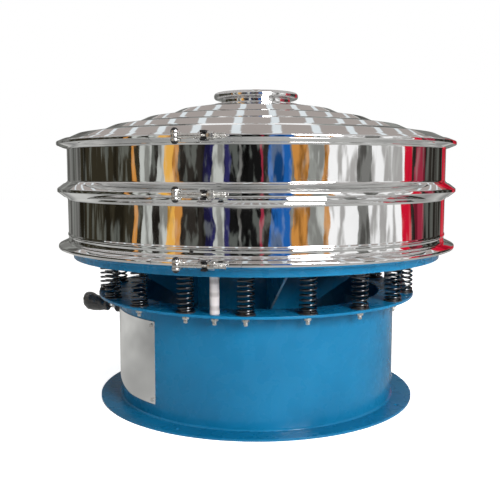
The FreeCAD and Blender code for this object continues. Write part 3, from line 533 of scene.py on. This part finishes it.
# one turn of the hank, as (distance out, rise): narrow at the tie, wide at the far end
hank_turn = [
    (0.043, 0.0216), (0.034, 0.006), (0.043, -0.0096), (0.065, -0.013), (0.088, -0.013), (0.112, -0.012),
    (0.134, -0.003), (0.143, 0.019), (0.134, 0.041), (0.112, 0.050), (0.078, 0.039), (0.060, 0.031),
]
hank_turns, turn_spacing = 3, 2.3 * cable_radius
first_aside = -0.011
route = [
    along_cable(0, 0), along_cable(0.012, 0), along_cable(0.036, -0.004), along_cable(0.065, -0.013, -0.008),
]
route += [along_cable(distance, rise, first_aside) for distance, rise in hank_turn[4:]]
for turn in range(1, hank_turns):
    for index, (distance, rise) in enumerate(hank_turn):
        aside = (turn - 2 + index / len(hank_turn)) * turn_spacing
        route.append(along_cable(distance, rise, aside))
bpy.ops.curve.primitive_nurbs_path_add(location=(0, 0, 0))
cable = called("motor_cable")
cable.data.splines.clear()
spline = cable.data.splines.new("NURBS")
spline.points.add(len(route) - 1)
for point, place in zip(spline.points, route):
    point.co = (*place, 1)
spline.order_u = 3
spline.use_endpoint_u = True
cable.data.bevel_depth = cable_radius
cable.data.bevel_resolution = 5
cable.data.use_fill_caps = True
dressed(cable, "black_cable", "base", "cable_lead")

# the film round the hank, each ring as (distance from the tie, radius)
film_rings = [
    (0.000, 0.012), (0.004, 0.020), (0.012, 0.024), (0.020, 0.0225), (0.030, 0.026),
    (0.046, 0.032), (0.062, 0.036), (0.080, 0.0400), (0.096, 0.0420), (0.108, 0.038),
    (0.118, 0.028), (0.1235, 0.010),
]
bpy.ops.mesh.primitive_circle_add(
    vertices=36, radius=film_rings[0][1], fill_type="NGON", rotation=(0, math.pi / 2, 0),
)
film = settled(called("film_wrap"))
bpy.ops.object.mode_set(mode="EDIT")
bpy.ops.mesh.select_all(action="SELECT")
for near, far in zip(film_rings, film_rings[1:]):
    move = (far[0] - near[0], 0, (far[0] - near[0]) * hank_rise / hank_length)
    bpy.ops.mesh.extrude_region_move(TRANSFORM_OT_translate={"value": move})
    bpy.ops.transform.resize(value=(1, far[1] / near[1], far[1] / near[1]))
bpy.ops.mesh.select_all(action="SELECT")
bpy.ops.mesh.normals_make_consistent(inside=False)
bpy.ops.object.mode_set(mode="OBJECT")
film.location = cable_exit + outward * lead_length
film.rotation_euler.z = math.radians(gland_azimuth - 90)
settled(film)
applied(film, "SUBSURF", levels=2, render_levels=2)
creases = bpy.data.textures.new("film_creases", "CLOUDS")
creases.noise_scale = 0.016
applied(film, "DISPLACE", texture=creases, strength=0.006, mid_level=0.75, texture_coords="LOCAL")
smoothed(film, 60)
dressed(film, "black_film", "base", "cable_hank")


# ---------------------------------------------------------------- base

foot = spun("foot_plate", [
    (foot_bore, 0), (foot_radius, 0), (foot_radius, foot_top, 1.5 * MM), (foot_bore, foot_top, 1.5 * MM),
])
for index in range(anchor_count):
    bpy.ops.mesh.primitive_cylinder_add(
        vertices=24, radius=anchor_hole_radius, depth=40 * MM,
        location=around(anchor_azimuth + 360 / anchor_count * index, anchor_circle),
    )
    carved(foot, settled(called("anchor_drill")))
dressed(smoothed(foot), "blue_enamel", "base", "foot_flange")

drum = spun("drum_wall", [
    (drum_radius - drum_wall, foot_top), (drum_radius, foot_top), (drum_radius, drum_top),
    (drum_radius - drum_wall, drum_top),
], steps=360)
for index in range(2):
    window = spun_arc("window_cutter", [
        (drum_radius - 0.02, 91 * MM), (drum_radius + 0.02, 91 * MM),
        (drum_radius + 0.02, 331 * MM), (drum_radius - 0.02, 331 * MM),
    ], cover_azimuth + cover_step * index - 23, cover_azimuth + cover_step * index + 23)
    carved(drum, window)
dressed(smoothed(drum), "blue_enamel", "base", "base_drum")

spring_plate = spun("spring_plate", [
    (ring_bore, drum_top, 1 * MM), (ring_radius, drum_top, 1.5 * MM), (ring_radius, base_height, 1.5 * MM),
    (ring_bore, base_height, 1 * MM),
])
dressed(spring_plate, "blue_enamel", "base", "spring_ring")

# the weld that runs round the drum's foot, and the one under the spring plate
for name, height, side in (("foot_weld", foot_top, 1), ("spring_plate_weld", drum_top, -1)):
    weld = spun(name, [
        (drum_radius - 1 * MM, height), (drum_radius + 6 * MM, height),
        (drum_radius + 4.2 * MM, height + side * 3 * MM), (drum_radius, height + side * 6 * MM),
        (drum_radius - 1 * MM, height + side * 6 * MM),
    ], steps=360)
    beads = bpy.data.textures.new(f"{name}_beads", "CLOUDS")
    beads.noise_scale = 0.012
    applied(weld, "DISPLACE", texture=beads, strength=0.003, mid_level=0.5, texture_coords="LOCAL")
    dressed(weld, "blue_enamel", "base")

for side, index in (("left", 0), ("right", 1)):
    middle = cover_azimuth + cover_step * index
    near, far = drum_radius, reach(f"{side}_cover")
    plate = spun_arc(f"{side}_service_plate", [
        (near, low(f"{side}_cover")), (far, low(f"{side}_cover")), (far, high(f"{side}_cover")),
        (near, high(f"{side}_cover")),
    ], middle - cover_span / 2, middle + cover_span / 2)
    softened(plate, 0.8 * MM, 2, 60)
    dressed(plate, "mirror_stainless", "base", f"{side}_cover")


# ---------------------------------------------------------------- springs, seats and rods

wire_radius, coil_radius = 4 * MM, 27 * MM
spring_low, spring_high = base_height + 4 * MM, dish_bottom - 4 * MM
end_pitch = wire_radius * 2.05
spring_rise = spring_high - spring_low - 2 * wire_radius


def coil(turns, rise, turned_by, height):
    """Part of a coil: a ring of wire carried round and up by a screw."""
    bpy.ops.mesh.primitive_circle_add(
        vertices=12, radius=wire_radius, location=(coil_radius, 0, 0), rotation=(math.pi / 2, 0, 0))
    piece = settled(called("coil_part"))
    applied(
        piece, "SCREW", angle=2 * math.pi * turns, screw_offset=rise, steps=round(28 * turns),
        render_steps=round(28 * turns), use_merge_vertices=False,
    )
    piece.rotation_euler.z = 2 * math.pi * turned_by
    piece.location.z = height
    return settled(piece)


first_height = spring_low + wire_radius
middle_rise = spring_rise - 2 * end_pitch
spring = joined("spring", [
    coil(1, end_pitch, 0, first_height),
    coil(6.5, middle_rise, 0, first_height + end_pitch),
    coil(1, end_pitch, 0.5, first_height + end_pitch + middle_rise),
])
bpy.ops.object.mode_set(mode="EDIT")
bpy.ops.mesh.select_all(action="SELECT")
bpy.ops.mesh.remove_doubles(threshold=1e-5)
bpy.ops.mesh.select_all(action="DESELECT")
bpy.ops.mesh.select_non_manifold()
bpy.ops.mesh.fill_holes(sides=0)
bpy.ops.mesh.select_all(action="SELECT")
bpy.ops.mesh.normals_make_consistent(inside=False)
bpy.ops.object.mode_set(mode="OBJECT")
smoothed(spring, 50)
spring.location.x = spring_circle
settled(spring)
springs = ring_of("coil_springs", spring, spring_count, spring_azimuth)
springs.data.materials.clear()
springs.data.materials.append(finishes["black_spring"])
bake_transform(springs)
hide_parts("springs")

# The seats' black is painted shade: a dark disc set where the springs' feet lie in shade.
for level, disc, side, body in (
    ("lower", base_height, 1, "base"), ("upper", dish_bottom, -1, "vibrating_frame"),
):
    plate_face, cup_face = disc + side * 4 * MM, disc + side * 16 * MM
    seat = spun("spring_seat", [
        (spring_circle, disc), (spring_circle + 34 * MM, disc), (spring_circle + 34 * MM, plate_face, 1 * MM),
        (spring_circle + 22 * MM, plate_face), (spring_circle + 21 * MM, cup_face, 3 * MM),
        (spring_circle, cup_face),
    ], closed=False, steps=32, axis_x=spring_circle)
    seats = ring_of(f"{level}_seats", seat, spring_count, spring_azimuth)
    dressed(seats, "black_seat", body, f"{level}_spring_seats")


def stud_under_ring(name, count, azimuth, nodes):
    """A washer, a nut and a stud's end under the spring plate, all round."""
    underside = drum_top
    washer = rod("washer", (spring_circle, 0, underside - 2.5 * MM), 15 * MM, 2.5 * MM, sides=28)
    nut = rod("nut", (spring_circle, 0, underside - 14 * MM), 13.6 * MM, 11.5 * MM, sides=6, chamfer=1.4 * MM)
    stud = rod("stud", (spring_circle, 0, underside - 28 * MM), 7.5 * MM, 15 * MM, sides=20, chamfer=1.5 * MM)
    set_of_three = joined(name, [washer, nut, stud])
    return dressed(ring_of(name, set_of_three, count, azimuth), "bright_fasteners", "base", nodes)


stud_under_ring("spring_stud_nuts", spring_count, spring_azimuth, "spring_nuts")
stud_under_ring("rod_stud_nuts", rod_count, rod_azimuth, "rod_nuts")

sleeve_top = high("rod_sleeves")
sleeve_bore = spring_circle + 8 * MM
sleeve_waist, sleeve_side = spring_circle + 16 * MM, spring_circle + 17 * MM
sleeve = spun("taped_sleeve", [
    (sleeve_bore, base_height), (sleeve_side, base_height, 1 * MM),
    (sleeve_waist, base_height + 30 * MM, 9 * MM), (sleeve_side, base_height + 62 * MM, 9 * MM),
    (sleeve_waist, base_height + 96 * MM, 9 * MM), (sleeve_side, sleeve_top - 4 * MM, 1 * MM),
    (spring_circle + 15 * MM, sleeve_top, 1 * MM), (sleeve_bore, sleeve_top),
], steps=40, axis_x=spring_circle)
dressed(ring_of("taped_sleeves", sleeve, rod_count, rod_azimuth), "white_tape", "base", "rod_sleeves")


# ---------------------------------------------------------------- vibrating dish and clamped lips

dish = spun("dish", [
    (bore("vibrating_dish"), dish_bottom), (dish_radius, dish_bottom, 2.5 * MM),
    (dish_radius, lower_joint - dish_rise, 10 * MM),
    (lip_radius, lower_joint - lip_gap - lip_thickness, 1 * MM),
    (lip_radius, lower_joint - lip_gap, 1 * MM),
    (dish_radius - dish_wall, lower_joint - dish_rise + dish_wall / 2, 10 * MM),
    (dish_radius - dish_wall, dish_bottom + dish_plate, 4 * MM),
    (bore("vibrating_dish"), dish_bottom + dish_plate),
], steps=300)
dressed(dish, "blue_enamel", "vibrating_frame", "vibrating_dish")


def lip_below(joint, rise):
    """The lip at the foot of a frame, from its tip inside to its root outside."""
    return [
        (frame_bore, joint + rise - lip_thickness, 9 * MM), (lip_radius, joint + lip_gap, 1 * MM),
        (lip_radius, joint + lip_gap + lip_thickness, 1.5 * MM), (frame_radius, joint + rise, 10 * MM),
    ]


def lip_above(joint, rise):
    """The lip at the head of a frame, from its root outside to its tip inside."""
    return [
        (frame_radius, joint - rise, 10 * MM), (lip_radius, joint - lip_gap - lip_thickness, 1.5 * MM),
        (lip_radius, joint - lip_gap, 1 * MM), (frame_bore, joint - rise + lip_thickness, 9 * MM),
    ]


bead_height = lower_joint + 46 * MM
lower_wall = spun("lower_wall", lip_below(lower_joint, dish_rise) + [
    (frame_radius, bead_height - 7 * MM, 3 * MM), (frame_radius + 2.5 * MM, bead_height - 2.5 * MM, 2 * MM),
    (frame_radius + 2.5 * MM, bead_height + 2.5 * MM, 2 * MM), (frame_radius, bead_height + 7 * MM, 3 * MM),
] + lip_above(middle_joint, frame_rise), steps=360)
upper_outline = lip_below(middle_joint, frame_rise) + lip_above(lid_joint, lid_rise)
upper_wall = spun("upper_wall", upper_outline, steps=360)
for wall, node, azimuth, floor in (
    (lower_wall, "lower_frame", -150, lower_joint + 56 * MM),
    (upper_wall, "upper_frame", 150, middle_joint + 40 * MM),
):
    bpy.ops.mesh.primitive_cube_add(size=1, location=(frame_radius - 20 * MM, 0, floor + 50 * MM))
    window = called("outlet_cutter")
    window.scale = (0.1, 0.214, 0.1)
    window = turned_copy(settled(window), azimuth - 90)
    bpy.data.objects.remove(bpy.data.objects["outlet_cutter"])
    carved(wall, window)
    dressed(smoothed(wall), "mirror_stainless", "vibrating_frame", node)

for name, joint, rise, below in (
    ("lower", lower_joint, dish_rise, dish_radius), ("middle", middle_joint, frame_rise, frame_radius),
    ("upper", lid_joint, lid_rise, frame_radius),
):
    cover, clear, sheet = 0.6, 0.3 * MM, 3 * MM
    leg = lip_gap + lip_thickness + cover * (rise - lip_gap - lip_thickness) + clear
    under, over = lip_radius - cover * (lip_radius - below), lip_radius - cover * (lip_radius - frame_radius)
    nose, tip = 6 * MM, lip_gap + lip_thickness + clear
    section = [
        (under, joint - leg), (under, joint - leg - sheet, 1.2 * MM), (band_radius, joint - nose, 5 * MM),
        (band_radius, joint + nose, 5 * MM), (over, joint + leg + sheet, 1.2 * MM), (over, joint + leg),
        (lip_radius + clear, joint + tip), (lip_radius + clear, joint - tip),
    ]
    gap = 0.04
    arcs = [(-25, -13.2), (-10.2, -3.2), (-3.2, 116.8), (116.8, 236.8), (236.8, 335)]
    lengths = [spun_arc("band_arc", section, first + gap, last - gap) for first, last in arcs]
    band = joined(f"{name}_band", lengths)
    dressed(band, "mirror_stainless", "vibrating_frame", f"{name}_clamp_ring")


# ---------------------------------------------------------------- lid and inlet

lid_slope, lid_step, lid_bulge, lid_shoulder = 0.25, 135 * MM, 9 * MM, 42 * MM
lid_sheet = 3 * MM


def lid_height(radius):
    return lid_joint + lid_rise + lid_slope * (frame_radius - radius)


over_lid = [
    (lip_radius, lid_joint + lip_gap, 1 * MM), (lip_radius, lid_joint + lip_gap + lip_thickness, 1.5 * MM),
]
under_lid = []
for step in range(5):
    crease = frame_radius - lid_step * step
    shoulder = crease - lid_shoulder
    over_lid.append((crease, lid_height(crease), 16 * MM))
    under_lid.append((crease - lid_sheet * 0.5, lid_height(crease) - lid_sheet, 16 * MM))
    if step < 4:
        over_lid.append((shoulder, lid_height(shoulder) + lid_bulge, 30 * MM))
        under_lid.append((shoulder, lid_height(shoulder) + lid_bulge - lid_sheet, 30 * MM))
over_lid.append((bore("lid"), lid_top))
under_lid.append((bore("lid"), lid_top - lid_sheet))
lid = spun("lid_shell", over_lid + under_lid[::-1], steps=300)
dressed(lid, "mirror_stainless", "vibrating_frame", "lid")

mouth, neck = bore("feed_inlet"), bore("feed_inlet") + 3 * MM
collar_base, bead_radius, collar_top = 172 * MM, 170 * MM, high("feed_inlet")
bead_low = collar_top - 26 * MM
collar = spun("inlet_collar", [
    (mouth, lid_top), (collar_base, lid_top), (collar_base, lid_top + 10 * MM, 4 * MM),
    (neck, lid_top + 10 * MM, 5 * MM), (neck, bead_low, 5 * MM), (bead_radius, bead_low, 11 * MM),
    (bead_radius, collar_top, 12.5 * MM),
    (mouth, collar_top, 9 * MM),
], steps=200)
dressed(collar, "mirror_stainless", "vibrating_frame", "feed_inlet")


# ---------------------------------------------------------------- closures

ear_low, ear_thickness = 8.5 * MM, 8 * MM


def at_closure(piece, joint):
    """Turn a piece made at +X to the closure and lift it to its joint."""
    piece.rotation_euler.z = math.radians(closure_azimuth - 90)
    piece.location.z = joint
    return settled(piece)


def ear(name, bottom):
    """A rounded lug, lying level."""
    bpy.ops.mesh.primitive_cylinder_add(
        vertices=40, radius=13 * MM, depth=ear_thickness,
        location=(closure_radius, -pivot_offset, bottom + ear_thickness / 2),
    )
    lug = settled(called(name))
    for corner in lug.data.vertices:
        if corner.co.x < closure_radius - 0.1 * MM:
            corner.co.x = band_radius + 1.5 * MM
    return softened(lug, 1 * MM)


for name, joint in (("lower", lower_joint), ("middle", middle_joint), ("upper", lid_joint)):
    lugs = [ear("upper_ear", ear_low), ear("lower_ear", -ear_low - ear_thickness)]
    web = block(
        "web", (band_radius + 0.5 * MM, -pivot_offset - 13 * MM, -ear_low - ear_thickness),
        (band_radius + 6 * MM, -pivot_offset + 13 * MM, ear_low + ear_thickness))
    bracket = at_closure(joined(f"{name}_hinge_bracket", lugs + [web]), joint)
    dressed(bracket, "bright_fasteners", "vibrating_frame", f"{name}_clamp_bracket")

    top = ear_low + ear_thickness
    shank = rod("shank", (closure_radius, -pivot_offset, -top), 6 * MM, 2 * top, sides=28)
    caps = []
    for side in (1, -1):
        caps.append(spun("cap", [
            (closure_radius, side * top), (closure_radius + 11 * MM, side * top),
            (closure_radius + 11 * MM, side * (top + 3 * MM), 1.5 * MM),
            (closure_radius + 6 * MM, side * (top + 8 * MM), 3 * MM), (closure_radius, side * (top + 9 * MM)),
        ], closed=False, steps=28, axis_x=closure_radius))
        caps[-1].location.y = -pivot_offset
        settled(caps[-1])
    pin = at_closure(joined(f"{name}_hinge_pin", [shank] + caps), joint)
    dressed(pin, "dark_steel", "vibrating_frame", f"{name}_clamp_pin")

    eye = rod("eye", (closure_radius, -pivot_offset, -7.5 * MM), 12 * MM, 15 * MM, sides=36, chamfer=1.5 * MM)
    plain_shank = rod(
        "plain_shank", (closure_radius, -pivot_offset + 9 * MM, 0), 7.6 * MM, 78 * MM, "Y", chamfer=0,
    )
    thread = profile("thread", [(8 * MM, 0), (6.9 * MM, 1 * MM), (8 * MM, 2 * MM)], closed=False)
    applied(
        thread, "SCREW", angle=2 * math.pi, screw_offset=2 * MM, steps=24, render_steps=24, iterations=36,
        use_merge_vertices=True, merge_threshold=1e-5)
    thread.rotation_euler.x = -math.pi / 2
    thread.location = (closure_radius, 22 * MM, 0)
    settled(thread)
    core = rod("core", (closure_radius, 20 * MM, 0), 7.1 * MM, 76 * MM, "Y", sides=24, chamfer=1 * MM)
    bolt = at_closure(joined(f"{name}_hinged_bolt", [eye, plain_shank, smoothed(thread, 50), core]), joint)
    dressed(bolt, "bright_fasteners", f"{name}_bolt", f"{name}_swing_bolt")

    # The fork is near-black all over: painted shade, the dark inside its slot laid over the whole part.
    fork = block(
        "fork", (band_radius + 0.4 * MM, 18 * MM, -16 * MM),
        (closure_radius + 12 * MM, 38 * MM, 16 * MM), 2 * MM,
    )
    bpy.ops.mesh.primitive_cube_add(size=1, location=(closure_radius + 11 * MM, 28 * MM, 0))
    slot_cutter = called("slot_cutter")
    slot_cutter.scale = (60 * MM, 40 * MM, 17.2 * MM)
    carved(fork, settled(slot_cutter))
    fork = at_closure(smoothed(fork), joint)
    fork.name = f"{name}_fork"
    dressed(fork, "dark_steel", "vibrating_frame", f"{name}_clamp_saddle")

    start = 39 * MM
    hexagon = rod("hexagon", (closure_radius, start, 0), 13.8 * MM, 21 * MM, "Y", sides=6, chamfer=1.6 * MM)
    hexagon.name = f"{name}_closing_nut"
    at_closure(hexagon, joint)
    dressed(hexagon, "bright_fasteners", f"{name}_nut", f"{name}_clamp_nut")


# ---------------------------------------------------------------- floor, light and what the metal mirrors


def lit_card(name, colour_maker):
    """A stage material that glows with a pattern."""
    finish = bpy.data.materials.new(name)
    finish.use_nodes = True
    tree = finish.node_tree
    tree.nodes.remove(tree.nodes["Principled BSDF"])
    glow = tree.nodes.new("ShaderNodeEmission")
    tree.links.new(colour_maker(tree), glow.inputs["Color"])
    tree.links.new(glow.outputs["Emission"], tree.nodes["Material Output"].inputs["Surface"])
    return finish


def mirrored_only(card):
    """The card shows in polished metal and nowhere else."""
    card.visible_camera = False
    card.visible_diffuse = False
    card.visible_shadow = False
    card.visible_transmission = False
    card.visible_volume_scatter = False
    return card


black, dark, grey = (0.008, 0.008, 0.008), (0.03, 0.026, 0.022), (0.20, 0.20, 0.19)
pale, white = (0.55, 0.57, 0.54), (1, 1, 1)
brown, amber, orange = (0.034, 0.029, 0.018), (0.86, 0.46, 0.09), (0.62, 0.27, 0.06)
navy, blue, red, rose = (0.028, 0.026, 0.11), (0.015, 0.12, 0.42), (0.62, 0.010, 0.035), (0.34, 0.03, 0.06)
# each stripe of the workshop that the sides mirror, from the azimuth at which it starts
stripes = [
    (-90, brown), (-70, orange), (-68, brown), (-65, pale), (-58.5, dark), (-54, pale), (-50, amber),
    (-44, orange), (-40.5, dark), (-27.5, navy), (-23, pale), (-18, navy), (-14, black), (-9, grey),
    (-7.5, black), (1, rose), (2.5, dark), (6, blue),
    (17, grey), (19.5, orange), (25.5, pale), (35, orange), (37, white), (54, grey), (62, white), (85.5, red),
    (93, dark), (97, rose), (106, dark), (136, red), (150, grey), (240, brown),
]


def workshop(tree):
    """Upright stripes whose edges waver, with darker streaks and paler patches across them."""
    place = tree.nodes.new("ShaderNodeTexCoord")
    radial = tree.nodes.new("ShaderNodeTexGradient")
    radial.gradient_type = "RADIAL"
    tree.links.new(place.outputs["Object"], radial.inputs["Vector"])
    waver = between(tree, pattern(tree, "Noise", 0.9, Detail=3).outputs["Fac"], -0.006, 0.006)
    shifted = tree.nodes.new("ShaderNodeMath")
    shifted.operation = "ADD"
    tree.links.new(radial.outputs["Fac"], shifted.inputs[0])
    tree.links.new(waver, shifted.inputs[1])
    ramp = tree.nodes.new("ShaderNodeValToRGB")
    ramp.color_ramp.interpolation = "CONSTANT"
    elements = ramp.color_ramp.elements
    elements.remove(elements[1])
    for index, (azimuth, colour) in enumerate(stripes):
        # the gradient runs from 0 at an azimuth of -90 degrees round to 1
        position = (azimuth + 90) / 360
        element = elements[0] if index == 0 else elements.new(position)
        element.position = position
        element.color = (*colour, 1)
    tree.links.new(shifted.outputs["Value"], ramp.inputs["Fac"])
    colour = ramp.outputs["Color"]
    streaks = pattern(tree, "Noise", 1.6, Detail=4, stretch=(1, 1, 0.5)).outputs["Fac"]
    patches = pattern(tree, "Noise", 2.6, Detail=6, stretch=(1, 1, 0.7)).outputs["Fac"]
    for blend, factor, tint, start, stop in (
        ("MULTIPLY", streaks, (0.42, 0.41, 0.40), 0.50, 0.58),
        ("SCREEN", patches, (0.10, 0.11, 0.10), 0.52, 0.60),
    ):
        overlay = tree.nodes.new("ShaderNodeMix")
        overlay.data_type = "RGBA"
        overlay.blend_type = blend
        overlay.inputs["B"].default_value = (*tint, 1)
        tree.links.new(between(tree, factor, 0, 1, start, stop), overlay.inputs["Factor"])
        tree.links.new(colour, overlay.inputs["A"])
        colour = overlay.outputs["Result"]
    return colour


bpy.ops.mesh.primitive_cylinder_add(
    vertices=180, radius=6, depth=3.4, end_fill_type="NOTHING", location=(0, 0, 1.3),
)
surround = settled(called("workshop_surround"))
surround.data.materials.append(lit_card("workshop_stripes", workshop))
mirrored_only(surround)


def roof(tree):
    """Corrugated roof with clear strips that run away from the front."""
    bays = pattern(tree, "Wave", 0.40, Distortion=0.6, bands_direction="X", wave_profile="SIN").outputs["Fac"]
    return tinted(tree, bays, (0.40, 0.36, 0.34), (0.78, 0.84, 0.87), 0.84, 0.91)


bpy.ops.mesh.primitive_plane_add(size=26, location=(0, 0, 5.4))
ceiling = settled(called("roof_over_workshop"))
ceiling.data.materials.append(lit_card("roof_sheets", roof))
mirrored_only(ceiling)



def ground(tree):
    """The workshop's concrete, which the covers and the lower walls mirror."""
    cloud = pattern(tree, "Noise", 0.5, Detail=3).outputs["Fac"]
    return tinted(tree, cloud, (0.24, 0.24, 0.235), (0.60, 0.60, 0.58), 0.34, 0.66)


bpy.ops.mesh.primitive_plane_add(size=12, location=(0, 0, 0.5 * MM))
mirrored_ground = settled(called("workshop_ground"))
mirrored_ground.data.materials.append(lit_card("concrete", ground))
mirrored_only(mirrored_ground)

bpy.ops.mesh.primitive_plane_add(size=40, location=(0, 0, 0))
floor = settled(called("floor"))
floor_finish, floor_tree, floor_shader = new_finish("pale_floor")
floor_shader.inputs["Base Color"].default_value = (0.86, 0.86, 0.86, 1)
floor_shader.inputs["Roughness"].default_value = 0.8
floor_shader.inputs["Specular IOR Level"].default_value = 0.1
seen = floor_tree.nodes.new("ShaderNodeLightPath")
brighter = floor_tree.nodes.new("ShaderNodeMath")
brighter.operation = "MULTIPLY"
brighter.inputs[1].default_value = 0.82
floor_tree.links.new(seen.outputs["Is Camera Ray"], brighter.inputs[0])
floor_shader.inputs["Emission Color"].default_value = (1, 1, 1, 1)
floor_tree.links.new(brighter.outputs["Value"], floor_shader.inputs["Emission Strength"])
floor.data.materials.append(floor_finish)

world = bpy.data.worlds.new("white_studio")
bpy.context.scene.world = world
world.use_nodes = True
sky_tree = world.node_tree
sky = sky_tree.nodes["Background"]
sky.inputs["Color"].default_value = (1, 1, 1, 1)
rays = sky_tree.nodes.new("ShaderNodeLightPath")
total = rays.outputs["Is Camera Ray"]
for ray in ("Is Glossy Ray", "Is Transmission Ray"):
    larger = sky_tree.nodes.new("ShaderNodeMath")
    larger.operation = "MAXIMUM"
    sky_tree.links.new(total, larger.inputs[0])
    sky_tree.links.new(rays.outputs[ray], larger.inputs[1])
    total = larger.outputs["Value"]
level = sky_tree.nodes.new("ShaderNodeMapRange")
level.inputs["To Min"].default_value = 0.17
level.inputs["To Max"].default_value = 1
sky_tree.links.new(total, level.inputs["Value"])
sky_tree.links.new(level.outputs["Result"], sky.inputs["Strength"])


def lamp(name, place, aim, size, watts, glints=False):
    """A soft square lamp, which glossy surfaces mirror only if it gives them their glints."""
    bpy.ops.object.light_add(type="AREA", location=place)
    light = bpy.context.object
    light.name = name
    light.data.size = size
    light.data.energy = watts
    light.rotation_euler = (Vector(aim) - Vector(place)).to_track_quat("-Z", "Y").to_euler()
    light.visible_glossy = glints


lamp("key_lamp", (2.2, -3.8, 2.2), (0, 0, 0.4), 1.8, 235, glints=True)
lamp("fill_lamp", (-3.6, -2.6, 1.6), (0, 0, 0.4), 2.4, 30)
lamp("top_lamp", (0.5, 0.5, 4.6), (0, 0, 0.5), 2.6, 110)

bpy.context.scene.view_settings.view_transform = "Standard"
